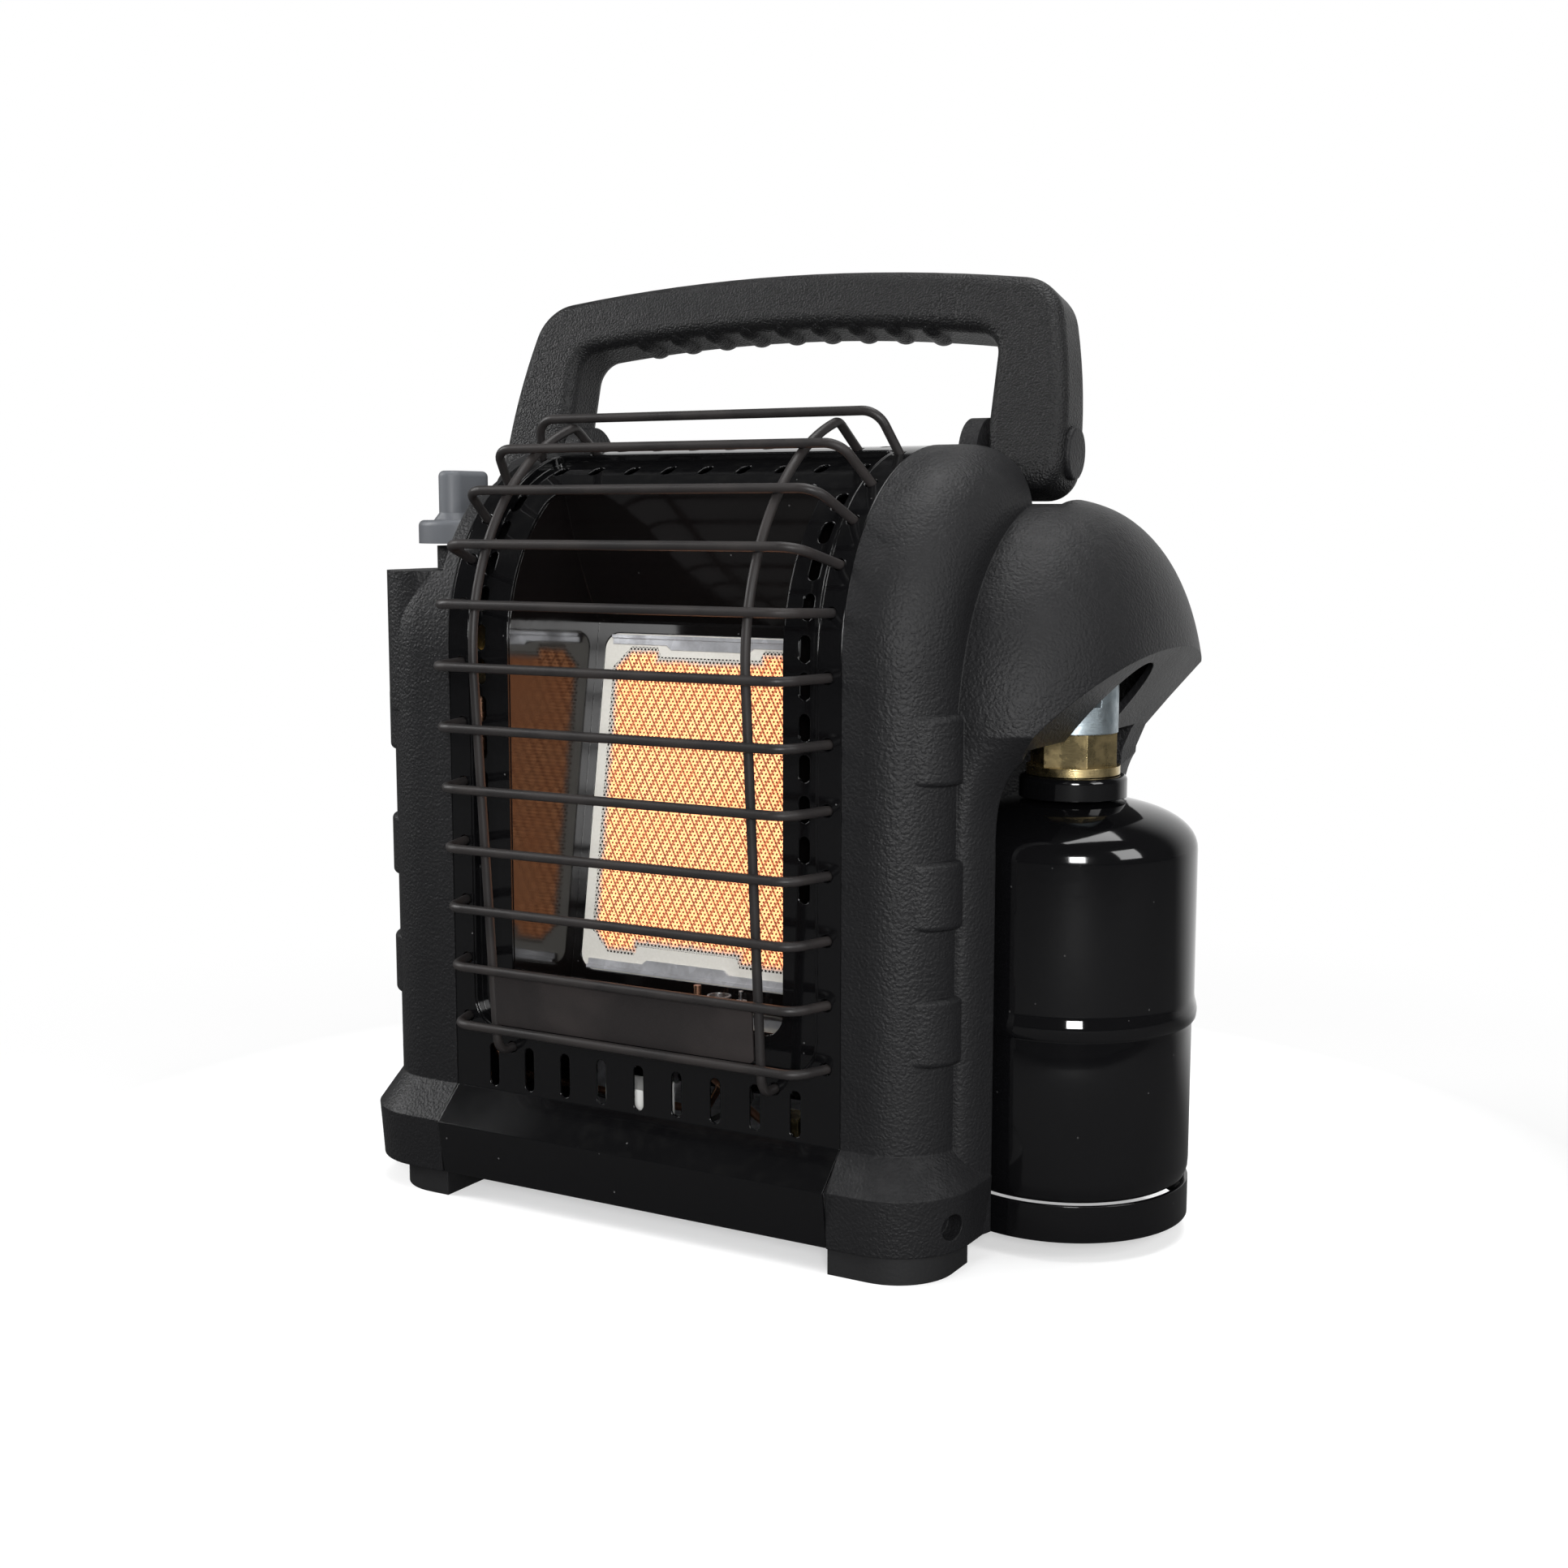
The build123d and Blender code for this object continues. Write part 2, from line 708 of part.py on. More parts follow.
with BuildPart() as tile_gasket:
    with BuildSketch(tile_face.offset(-tile_thickness)):
        with Locations((0, tile_height / 2)):
            RectangleRounded(tile_width, tile_height, tile_corner)
            RectangleRounded(tile_width - 2 * gasket_width, tile_height - 2 * gasket_width, tile_corner,
                             mode=Mode.SUBTRACT)
    extrude(amount=-gasket_thickness)
tile_gasket.part.label = "tile_gasket"
export_step(tile_gasket.part, "parts/tile_gasket.step")

plenum_width = tile_width + 2 * plenum_margin
plenum_height = tile_height + 2 * plenum_margin
plenum_front = -sheet
tile_grip = tile_thickness - sheet
with BuildPart() as burner_plenum:
    with BuildSketch(tile_face.offset(plenum_front)):
        with Locations((0, tile_height / 2)):
            RectangleRounded(plenum_width, plenum_height, tile_corner + plenum_margin)
    extrude(amount=-(plenum_depth + tile_grip))
    with BuildSketch(tile_face.offset(plenum_front)):
        with Locations((0, tile_height / 2)):
            RectangleRounded(tile_width + 2 * surround_gap, tile_height + 2 * surround_gap,
                             tile_corner + surround_gap)
    extrude(amount=-tile_grip - gasket_thickness, mode=Mode.SUBTRACT)
    with BuildSketch(tile_face.offset(plenum_front - tile_grip - gasket_thickness)):
        with Locations((0, tile_height / 2)):
            RectangleRounded(tile_width - 2 * gasket_width, tile_height - 2 * gasket_width, tile_corner)
    extrude(amount=-(plenum_depth - gasket_thickness - 2 * sheet), mode=Mode.SUBTRACT)
    round_bar(level(0), venturi_x, venturi_y, venturi_radius, venturi_z,
              tile_foot_z + venturi_port_rise, Mode.SUBTRACT)
burner_plenum.part.label = "burner_plenum"
export_step(burner_plenum.part, "parts/burner_plenum.step")

for name, edge, step in (("tile_bracket_upper", tile_height - bracket_inset, -1),
                         ("tile_bracket_lower", bracket_inset, 1)):
    near, far = edge + step * bracket_height, edge + step * (bracket_height + tongue_drop)
    with BuildPart() as tile_bracket:
        with BuildSketch(tile_face.offset(weld_gap)):
            with BuildLine():
                Polyline((-bracket_half, edge), (bracket_half, edge), (bracket_half, near),
                         (tongue_x + tongue_half + tongue_slope, near), (tongue_x + tongue_half, far),
                         (tongue_x - tongue_half, far), (tongue_x - tongue_half - tongue_slope, near),
                         (-bracket_half, near), close=True)
            make_face()
        extrude(amount=bracket_sheet)
        with BuildSketch(tile_face.offset(weld_gap + bracket_sheet)):
            with Locations((0, edge + step * bracket_lip / 2)):
                Rectangle(2 * bracket_half, bracket_lip)
        extrude(amount=bracket_rise)
    tile_bracket.part.label = name
    export_step(tile_bracket.part, f"parts/{name}.step")

# ---------------------------------------------------------------- wire guard

with BuildPart() as guard_bars:
    for (y, z), (foot_y, foot_z) in bar_rows:
        with BuildLine() as run:
            FilletPolyline(place(-bar_foot_x, foot_y, foot_z), place(-bar_half, y, z), place(bar_half, y, z),
                           place(bar_foot_x, foot_y, foot_z), radius=bar_bend)
        with BuildSketch(Plane(origin=run.line @ 0, z_dir=run.line % 0)):
            Circle(wire_radius)
        sweep()
guard_bars.part.label = "guard_bars"
export_step(guard_bars.part, "parts/guard_bars.step")

with BuildPart() as guard_uprights:
    for side in SIDES:
        with BuildLine(facing_side(side * upright_x)) as run:
            arc_start = round_arch(upright_radius, -guard_lean, guard_y)
            arc_end = round_arch(upright_radius, guard_arch_angles[-1], guard_y)
            Polyline(upright_low_foot, upright_low, arc_start)
            ThreePointArc(arc_start, round_arch(upright_radius, guard_arch_angles[-1] / 2, guard_y), arc_end)
            Line(arc_end, upright_back)
            corners = run.vertices().sort_by(Axis.Z)
            fillet(corners[0:2].sort_by(Axis.Y)[0], upright_bend)
            fillet(run.vertices().sort_by_distance(place(side * upright_x, *arc_end))[0], upright_bend)
        with BuildSketch(Plane(origin=run.wire() @ 0, z_dir=run.wire() % 0)):
            Circle(wire_radius)
        sweep(path=run.wire())
guard_uprights.part.label = "guard_uprights"
export_step(guard_uprights.part, "parts/guard_uprights.step")

plate_y = guard_low_y + wire_radius + 2 * weld_gap
with BuildPart() as guard_plate:
    with BuildSketch(leaned(plate_y, guard_low_z, -guard_lean)):
        with Locations((0, guard_pitch / 2)):
            RectangleRounded(2 * plate_half, guard_pitch - 2 * plate_inset, plate_corner)
    extrude(amount=-plate_sheet)
guard_plate.part.label = "guard_plate"
export_step(guard_plate.part, "parts/guard_plate.step")

# ---------------------------------------------------------------- housings

rear_corner = roll
arc_share = 1 - math.sqrt(0.5)        # how far in the middle of a quarter round lies


def housing_plan(side, z, front, half, corner, inset=0.0):
    """Plan of a housing's skirt at one height, drawn in by an inset."""
    inner, out, near, far = housing_inner - inset, half - inset, front + inset, housing_back_y - inset
    bend, rear = corner - inset, rear_corner - inset
    with BuildSketch(level(z)) as plan:
        with BuildLine() as outline:
            Line((side * inner, near), (side * (out - bend), near))
            ThreePointArc((side * (out - bend), near),
                          (side * (out - bend * arc_share), near + bend * arc_share),
                          (side * out, near + bend))
            Line((side * out, near + bend), (side * out, far - rear))
            ThreePointArc((side * out, far - rear),
                          (side * (out - rear * arc_share), far - rear * arc_share),
                          (side * (out - rear), far))
            Polyline((side * (out - rear), far), (side * inner, far), (side * inner, near))
        make_face(outline.edges())
    return plan.sketch


def housing_body(side, body, inset):
    """Adds a housing's upper form and its flared skirt, both drawn in by an inset."""
    half, skirt = side_half[side], skirt_half[side]
    with BuildSketch(facing_side(side * (housing_inner - inset))) as outline:
        casing_outline(housing_arch - inset, sill_top_z, housing_front_y + inset, housing_back_y - inset)
    extrude(outline.sketch, amount=side * (half - housing_inner))
    rim = body.edges().group_by(Axis.X)[-1 if side > 0 else 0].sort_by(Axis.Z)[1:]
    fillet(rim, roll - inset)
    loft([housing_plan(side, sill_top_z, housing_front_y, half, roll, inset),
          housing_plan(side, nose_z, skirt_front_y, skirt, skirt_corner, inset)], ruled=True)
    loft([housing_plan(side, nose_z, skirt_front_y, skirt, skirt_corner, inset),
          housing_plan(side, base_z + inset, skirt_front_y + skirt_foot_in, skirt - skirt_foot_in,
                       skirt_corner - skirt_foot_in, inset)], ruled=True)


def box_cut(x0, x1, y0, y1, z0, z1, mode=Mode.SUBTRACT):
    """Cuts or adds an upright block between two corners."""
    with BuildSketch(level(z0)) as plan:
        with Locations(((x0 + x1) / 2, (y0 + y1) / 2)):
            Rectangle(abs(x1 - x0), abs(y1 - y0))
    extrude(plan.sketch, amount=z1 - z0, mode=mode)


def grip_pads(side, pads):
    """Adds the three raised pads that sit on a housing's front corner."""
    reach, turn = roll + bump_proud - bump_radius, math.radians(bump_turn)
    corner_x, corner_y = side_half[side] - roll, housing_front_y + roll
    for z in bump_z:
        round_bar(level(0), side * (corner_x + reach * math.sin(turn)), corner_y - reach * math.cos(turn),
                  bump_radius, z - bump_height / 2, z + bump_height / 2)
    fillet(pads.edges().filter_by(GeomType.CIRCLE), bump_fillet)


def handle_pocket(side, inset):
    """Cuts the pocket that an arm of the handle turns in, or clears a hollow off its walls."""
    box_cut(side * (arm_inner - pocket_gap - inset), side * (handle_half + cap_proud + pocket_gap + inset),
            pocket_front_y - inset, housing_back_y + roll, pocket_floor_z - inset, pivot_z + roll)


def handle_lug(side):
    """Adds the lug that holds one of the handle's pins."""
    with BuildSketch(facing_side(side * lug_inner)) as lug:
        with Locations((pivot_y, pivot_z)):
            Circle(lug_radius)
        with Locations((pivot_y, pivot_z - lug_radius)):
            Rectangle(2 * lug_radius, 2 * lug_radius)
    extrude(lug.sketch, amount=side * (lug_outer - lug_inner))
    round_bar(facing_side(0), pivot_y, pivot_z, pivot_pin_radius, side * lug_inner, side * arm_inner,
              Mode.SUBTRACT)


def foot_studs(side, mode=Mode.SUBTRACT):
    """Cuts or adds the studs that hold a side's two feet."""
    for y in (stud_y, skirt_front_y + housing_back_y - stud_y):
        round_bar(level(0), side * stud_x, y, foot_stud_radius, base_z, base_z + wall, mode)


def shoulder_pod(inset):
    """Adds the upright pod that carries the left shoulder's outer edge, drawn in by an inset."""
    with BuildSketch(level(pod_low_z)) as plan:
        with Locations((-(pod_inner + pod_outer) / 2, (pod_front_y + shoulder_back_y) / 2)):
            RectangleRounded(pod_outer - pod_inner - 2 * inset, shoulder_back_y - pod_front_y - 2 * inset,
                             pod_round - inset)
    extrude(plan.sketch, amount=shoulder_z - inset - pod_low_z)


with BuildPart() as left_pads:
    grip_pads(-1, left_pads)

with BuildPart() as right_pads:
    grip_pads(1, right_pads)

with BuildPart() as left_hollow:
    housing_body(-1, left_hollow, wall)
    shoulder_pod(wall)
    handle_pocket(-1, wall)
    box_cut(-shoulder_half + wall, -skirt_half[-1] - roll, -roll, shoulder_back_y + wall,
            shoulder_z - wall, pivot_z + roll)
    round_bar(level(0), knob_x, knob_y, knob_radius + knob_gap + knob_recess_wall, shoulder_z - wall,
              pivot_z, Mode.SUBTRACT)

with BuildPart() as left_housing:
    housing_body(-1, left_housing, 0)
    shoulder_pod(0)
    add(left_pads.part)
    add(left_hollow.part, mode=Mode.SUBTRACT)
    handle_pocket(-1, 0)
    box_cut(-shoulder_half, -skirt_half[-1] - roll, -roll, shoulder_back_y, shoulder_z, pivot_z + roll)
    round_bar(level(0), knob_x, knob_y, knob_radius + knob_gap, shoulder_z, pivot_z, Mode.SUBTRACT)
    handle_lug(-1)
    round_bar(level(0), knob_x, knob_y, boss_radius, shoulder_z, boss_top_z)
    round_bar(level(0), knob_x, knob_y, stem_radius + stem_clearance, shoulder_z - 2 * wall, boss_top_z,
              Mode.SUBTRACT)
    for y in valve_screw_y:
        round_bar(level(0), knob_x, y, valve_boss_radius, valve_plate_z + bracket_sheet, shoulder_z - wall)
        round_bar(level(0), knob_x, y, screw_radius, valve_plate_z, shoulder_z - wall, Mode.SUBTRACT)
    foot_studs(-1)
left_housing.part.label = "left_housing"
export_step(left_housing.part, "parts/left_housing.step")


def dome_form(inset):
    """Adds the dome over the cylinder, drawn in by an inset, with the flank below it."""
    radius, reach, steps = dome_radius - inset, dome_reach - inset, 10

    def bulge(share, out):
        return dome_x + out * (1 - share ** dome_power) ** (1 / dome_power)

    rises = [math.sin(i / steps * math.pi / 2) for i in range(steps + 1)]
    with BuildSketch(level(dome_z)) as half:
        with BuildLine() as outline:
            Polyline((dome_x, dome_y + radius), (dome_root_x, dome_y + radius), (dome_root_x, dome_y),
                     (dome_x + reach, dome_y))
            Spline(*[(bulge(r, reach), dome_y + radius * r) for r in rises],
                   tangents=((0, 1), (-1, 0)))
        make_face(outline.edges())
    revolve(half.sketch, axis=Axis(place(0, dome_y, dome_z), (1, 0, 0)), revolution_arc=180)
    sections = []
    for z, rise in flank_rise + ((dome_z, 1.0),):
        out = flank_reach - inset + (dome_reach - flank_reach) * rise
        with BuildSketch(level(z)) as plan:
            with BuildLine() as outline:
                Polyline((dome_x, dome_y + radius), (dome_root_x, dome_y + radius),
                         (dome_root_x, dome_y - radius), (dome_x, dome_y - radius))
                Spline(*[(bulge(abs(r), out), dome_y + radius * r)
                         for r in [-r for r in reversed(rises)] + rises[1:]],
                       tangents=((1, 0), (-1, 0)))
            make_face(outline.edges())
        sections.append(plan.sketch)
    loft(sections)
    extrude(sections[0], amount=base_z + inset - flank_rise[0][0])
    box_cut(dome_root_x, skirt_half[1] + dome_reach + roll, housing_back_y - inset,
            housing_back_y + dome_radius, 0, dome_z + dome_radius + roll)


def under_dome(grow):
    """Cuts everything below the dome's slanted underside, or below a wall along it."""
    top, low = under_edge[-1], under_edge[0]
    with BuildSketch(facing_front(-roll)) as side_view:
        with BuildLine() as outline:
            Polyline(*under_edge, (top[0] + dome_reach, top[1]), (top[0] + dome_reach, 0), (low[0], 0), low)
        make_face(outline.edges())
        if grow:
            offset(amount=grow, kind=Kind.INTERSECTION)
    extrude(side_view.sketch, amount=-(housing_back_y + 2 * roll), mode=Mode.SUBTRACT)


with BuildPart() as right_hollow:
    housing_body(1, right_hollow, wall)
    dome_form(wall)
    handle_pocket(1, wall)
    under_dome(wall)
    round_bar(level(0), cylinder_x, cylinder_y, well_radius + wall, 0, well_top_z + wall, Mode.SUBTRACT)

recess_out = Vector(math.cos(math.radians(recess_turn)), -math.sin(math.radians(recess_turn)), 0)
recess = Plane(origin=place(skirt_half[1] - skirt_corner, skirt_front_y + skirt_corner, recess_z)
               + recess_out * (skirt_corner - skirt_foot_in / 2), z_dir=recess_out)

with BuildPart() as right_housing:
    housing_body(1, right_housing, 0)
    add(right_pads.part)
    dome_form(0)
    with BuildSketch(level(base_z + wall)) as tube:
        with Locations((cylinder_x, cylinder_y)):
            Circle(well_radius + wall)
        with Locations((dome_x + well_radius, cylinder_y)):
            Rectangle(2 * well_radius, 3 * well_radius, mode=Mode.SUBTRACT)
    extrude(amount=well_top_z - base_z)
    under_dome(0)
    add(right_hollow.part, mode=Mode.SUBTRACT)
    round_bar(level(0), cylinder_x, cylinder_y, well_radius, 0, well_top_z, Mode.SUBTRACT)
    with BuildSketch(level(well_top_z - wall)):
        with Locations(((neck_slot_inner_x + neck_slot_end_x) / 2, cylinder_y)):
            SlotOverall(neck_slot_end_x - neck_slot_inner_x, 2 * neck_slot_half)
    extrude(amount=neck_slot_top_z - well_top_z, mode=Mode.SUBTRACT)
    handle_pocket(1, 0)
    handle_lug(1)
    foot_studs(1)
    round_bar(recess, 0, 0, recess_radius + wall / 2, -recess_depth - wall / 2, -wall / 2)
    round_bar(recess, 0, 0, recess_radius, -recess_depth, recess_depth, Mode.SUBTRACT)
right_housing.part.label = "right_housing"
export_step(right_housing.part, "parts/right_housing.step")

with BuildPart() as rubber_feet:
    for side in SIDES:
        for end in SIDES:
            with BuildSketch(level(0)) as pad:
                with BuildLine() as outline:
                    near, far, outer = foot_front_y, foot_front_y + foot_depth, foot_outer_x[side]
                    Polyline((side * outer, near + foot_corner), (side * outer, far),
                             (side * foot_inner_x, far), (side * foot_inner_x, near),
                             (side * (outer - foot_corner), near))
                    ThreePointArc((side * (outer - foot_corner), near),
                                  (side * (outer - foot_corner * arc_share), near + foot_corner * arc_share),
                                  (side * outer, near + foot_corner))
                make_face()
                if end > 0:
                    mirror(about=Plane(origin=(0, (skirt_front_y + housing_back_y) / 2, 0), z_dir=(0, 1, 0)),
                           mode=Mode.REPLACE)
                with Locations((cylinder_x, cylinder_y)):
                    Circle(well_radius + wall, mode=Mode.SUBTRACT)
            extrude(amount=base_z)
        foot_studs(side, Mode.ADD)
rubber_feet.part.label = "rubber_feet"
export_step(rubber_feet.part, "parts/rubber_feet.step")

# ---------------------------------------------------------------- handle

grip = leaned(pivot_y, pivot_z, lean)
half_thickness = handle_thickness / 2


def handle_outline(inset=0.0):
    """The handle as it is seen along its thickness, drawn in by an inset."""
    top, under, out, inner = grip_top - inset, grip_under + inset, handle_half - inset, arm_inner + inset
    corner_x, corner_v = handle_corner[0] - corner_in[0] * inset, handle_corner[1] - corner_in[1] * inset
    under_end = grip_under_end + corner_in[1] * inset
    with BuildSketch(grip) as outline:
        with BuildLine() as edge:
            ThreePointArc((-corner_x, corner_v), (0, top), (corner_x, corner_v))
            for side in SIDES:
                ThreePointArc((side * corner_x, corner_v), (side * (arm_bow[0] - inset), arm_bow[1]),
                              (side * out, arm_straight_end))
                Polyline((side * out, arm_straight_end), (side * out, -arm_end), (side * inner, -arm_end),
                         (side * inner, under_end))
            ThreePointArc((-inner, under_end), (0, under), (inner, under_end))
        make_face(edge.edges())
        fillet(outline.vertices().group_by(Axis.Y)[-1], handle_corner_round - inset)
        under_corners = outline.vertices().filter_by_position(Axis.Y, under_end - seam, under_end + seam)
        fillet(under_corners, grip_corner_round + inset)
        if inset:
            with Locations((0, arm_core_low - grip_top)):
                Rectangle(3 * handle_half, 2 * grip_top, mode=Mode.SUBTRACT)
            with Locations(*handle_screws):
                Circle(screw_post_radius, mode=Mode.SUBTRACT)
        else:
            ends = outline.vertices().group_by(Axis.Y)[0].sort_by(Axis.X)
            fillet([ends[0], ends[-1]], arm_end_round)
    return outline.sketch


handle_caps_in = handle_half - cap_depth


def pivot_cap(side, start, end, mode=Mode.ADD):
    """Adds or cuts the oval of a pivot cap along an arm's width."""
    with BuildSketch(facing_side(side * start)) as oval:
        with Locations((pivot_y, pivot_z)):
            Ellipse(cap_height / 2, cap_width / 2, rotation=90 - lean)
    extrude(oval.sketch, amount=side * (end - start), mode=mode)


def pivot_bores():
    """Cuts the pins' running bores and the seats of the pivot caps."""
    for side in SIDES:
        round_bar(facing_side(0), pivot_y, pivot_z, pivot_pin_radius + pivot_clearance,
                  side * (arm_inner - cut_over), side * (handle_half + cut_over), Mode.SUBTRACT)
        pivot_cap(side, handle_caps_in, handle_half + cut_over, Mode.SUBTRACT)


def grip_ridges(side):
    """Adds the finger ridges under the grip, from the shells' joint round to one face."""
    bend = half_thickness - ridge_set - ridge_bend
    core = ridge_bend - ridge_core
    flank = math.sqrt(ridge_radius ** 2 - (ridge_radius - ridge_core) ** 2)
    for i in range(ridge_count):
        x = (i - (ridge_count - 1) / 2) * ridge_pitch
        under = grip_under - (grip_under - grip_under_end) * (x / arm_inner) ** 2
        centre = grip.from_local_coords(Vector(x, under - ridge_proud + ridge_bend, side * bend))
        with BuildSketch(Plane(origin=centre, x_dir=(1, 0, 0), z_dir=grip.z_dir)) as section:
            with BuildLine() as lens:
                ThreePointArc((-flank, -core), (0, -ridge_bend), (flank, -core))
                Line((flank, -core), (-flank, -core))
            make_face(lens.edges())
        extrude(section.sketch, amount=handle_seam - side * bend)
        revolve(section.sketch, axis=Axis(centre, (-side, 0, 0)), revolution_arc=90)


with BuildPart() as handle_front_shell:
    extrude(handle_outline().moved(Location(grip.z_dir * handle_seam)), amount=half_thickness - handle_seam)
    fillet(handle_front_shell.faces().sort_by(Axis(grip.origin, grip.z_dir))[-1].edges(), handle_edge)
    grip_ridges(1)
    extrude(handle_outline(wall).moved(Location(grip.z_dir * handle_seam)),
            amount=half_thickness - wall - handle_seam, mode=Mode.SUBTRACT)
    pivot_bores()
    for x, v in handle_screws:
        round_bar(grip, x, v, screw_radius, handle_seam - cut_over, half_thickness - 2 * wall,
                  Mode.SUBTRACT)
handle_front_shell.part.label = "handle_front_shell"
export_step(handle_front_shell.part, "parts/handle_front_shell.step")

with BuildPart() as handle_rear_shell:
    extrude(handle_outline().moved(Location(grip.z_dir * -half_thickness)),
            amount=half_thickness + handle_seam)
    fillet(handle_rear_shell.faces().sort_by(Axis(grip.origin, grip.z_dir))[0].edges(), handle_edge)
    grip_ridges(-1)
    extrude(handle_outline(wall).moved(Location(grip.z_dir * (wall - half_thickness))),
            amount=half_thickness - wall + handle_seam, mode=Mode.SUBTRACT)
    pivot_bores()
    for x, v in handle_screws:
        round_bar(grip, x, v, screw_radius, -half_thickness - cut_over, handle_seam + cut_over,
                  Mode.SUBTRACT)
        round_bar(grip, x, v, screw_head, -half_thickness - cut_over, -half_thickness + screw_head_height,
                  Mode.SUBTRACT)
handle_rear_shell.part.label = "handle_rear_shell"
export_step(handle_rear_shell.part, "parts/handle_rear_shell.step")

with BuildPart() as handle_screw_set:
    for x, v in handle_screws:
        round_bar(grip, x, v, screw_head, -half_thickness, -half_thickness + screw_head_height)
        round_bar(grip, x, v, screw_radius, -half_thickness + screw_head_height, half_thickness - 2 * wall)
handle_screw_set.part.label = "handle_screws"
export_step(handle_screw_set.part, "parts/handle_screws.step")

with BuildPart() as handle_pivot_pins:
    for side in SIDES:
        round_bar(facing_side(0), pivot_y, pivot_z, pivot_pin_radius, side * lug_inner,
                  side * (handle_caps_in - seam))
handle_pivot_pins.part.label = "handle_pivot_pins"
export_step(handle_pivot_pins.part, "parts/handle_pivot_pins.step")

with BuildPart() as handle_pivot_caps:
    for side in SIDES:
        pivot_cap(side, handle_caps_in, handle_half + cap_proud)
    for end in (0, -1):
        fillet(handle_pivot_caps.faces().sort_by(Axis.X)[end].edges(), cap_round)
handle_pivot_caps.part.label = "handle_pivot_caps"
export_step(handle_pivot_caps.part, "parts/handle_pivot_caps.step")

# ---------------------------------------------------------------- knob and valve

knob_top = knob_low_z + knob_skirt


def blade_plan(z, flare):
    """Plan of the knob's blade at a height, wider by a flare all round."""
    with BuildSketch(level(z)) as plan:
        with Locations((knob_x, knob_y)):
            RectangleRounded(knob_blade + 2 * flare, 2 * (knob_blade_reach - knob_flare + flare),
                             knob_blade_corner)
    return plan.sketch


with BuildPart() as control_knob:
    with BuildSketch(level(knob_low_z)):
        with Locations((knob_x, knob_y)):
            Circle(knob_radius)
    extrude(amount=knob_skirt)
    fillet(control_knob.faces().sort_by(Axis.Z)[-1].edges(), knob_round)
    loft([blade_plan(knob_top - knob_round, knob_flare), blade_plan(knob_top + knob_flare, 0)])
    extrude(blade_plan(knob_top + knob_flare, 0), amount=knob_top_z - knob_top - knob_flare)
    fillet(control_knob.faces().sort_by(Axis.Z)[-1].edges(), knob_round)
    round_bar(level(0), knob_x, knob_y, knob_radius - knob_wall, knob_low_z, knob_top - knob_wall,
              Mode.SUBTRACT)
    round_bar(level(0), knob_x, knob_y, stem_radius + stem_clearance + knob_wall,
              knob_top - knob_wall - knob_hub, knob_top)
    round_bar(level(0), knob_x, knob_y, stem_radius + stem_clearance, knob_low_z,
              stem_top_z + knob_push + cut_over, Mode.SUBTRACT)
control_knob.part.label = "control_knob"
export_step(control_knob.part, "parts/control_knob.step")

with BuildPart() as valve_stem:
    round_bar(level(0), knob_x, knob_y, stem_radius, valve_low_z + 2 * wall, stem_top_z)
valve_stem.part.label = "valve_stem"
export_step(valve_stem.part, "parts/valve_stem.step")

with BuildPart() as gas_valve_body:
    with BuildSketch(level(valve_low_z)):
        with Locations((knob_x, knob_y)):
            RectangleRounded(2 * valve_half, 2 * valve_half, moulding_round)
    extrude(amount=valve_plate_z - valve_low_z)
    round_bar(facing_side(0), knob_y, valve_inlet_z, valve_port_radius, knob_x + valve_half,
              knob_x + valve_half + valve_port_length)
    round_bar(level(0), knob_x, knob_y, stem_radius + stem_clearance, valve_low_z + 2 * wall, valve_plate_z,
              Mode.SUBTRACT)
gas_valve_body.part.label = "gas_valve_body"
export_step(gas_valve_body.part, "parts/gas_valve_body.step")

with BuildPart() as valve_bracket:
    with BuildSketch(level(valve_plate_z)):
        with Locations((knob_x, (valve_screw_y[0] + valve_screw_y[1]) / 2)):
            RectangleRounded(valve_plate_width, valve_screw_y[1] - valve_screw_y[0] + 2 * valve_boss_radius,
                             valve_boss_radius)
        with Locations((knob_x, knob_y)):
            Circle(stem_radius + seam, mode=Mode.SUBTRACT)
        with Locations(*[(knob_x, y) for y in valve_screw_y]):
            Circle(screw_radius, mode=Mode.SUBTRACT)
    extrude(amount=bracket_sheet)
valve_bracket.part.label = "valve_bracket"
export_step(valve_bracket.part, "parts/valve_bracket.step")

with BuildPart() as valve_bracket_screws:
    for y in valve_screw_y:
        round_bar(level(0), knob_x, y, screw_head, valve_plate_z - screw_head_height, valve_plate_z)
        round_bar(level(0), knob_x, y, screw_radius, valve_plate_z, valve_plate_z + screw_length)
valve_bracket_screws.part.label = "valve_bracket_screws"
export_step(valve_bracket_screws.part, "parts/valve_bracket_screws.step")

with BuildPart() as piezo_igniter:
    with BuildSketch(level(valve_plate_z - piezo_height)):
        with Locations((knob_x, piezo_y)):
            RectangleRounded(piezo_width, piezo_width, moulding_round)
    extrude(amount=piezo_height)
piezo_igniter.part.label = "piezo_igniter"
export_step(piezo_igniter.part, "parts/piezo_igniter.step")


def tube_run(points, outer, inner, bend):
    """Adds a bent tube, or a solid lead where the inner radius is 0, through places on the heater."""
    with BuildLine() as run:
        FilletPolyline(*[place(*p) for p in points], radius=bend)
    path = run.wire()
    with BuildSketch(Plane(origin=path @ 0, z_dir=path % 0)) as section:
        Circle(outer)
        if inner:
            Circle(inner, mode=Mode.SUBTRACT)
    sweep(section.sketch, path=path)


# ---------------------------------------------------------------- burner's gas train

with BuildPart() as venturi_tube:
    tube_run([(venturi_start_x, venturi_y, venturi_z), (venturi_x, venturi_y, venturi_z),
              (venturi_x, venturi_y, venturi_top_z)],
             venturi_radius, venturi_radius - venturi_wall, venturi_bend)
venturi_tube.part.label = "venturi_tube"
export_step(venturi_tube.part, "parts/venturi_tube.step")

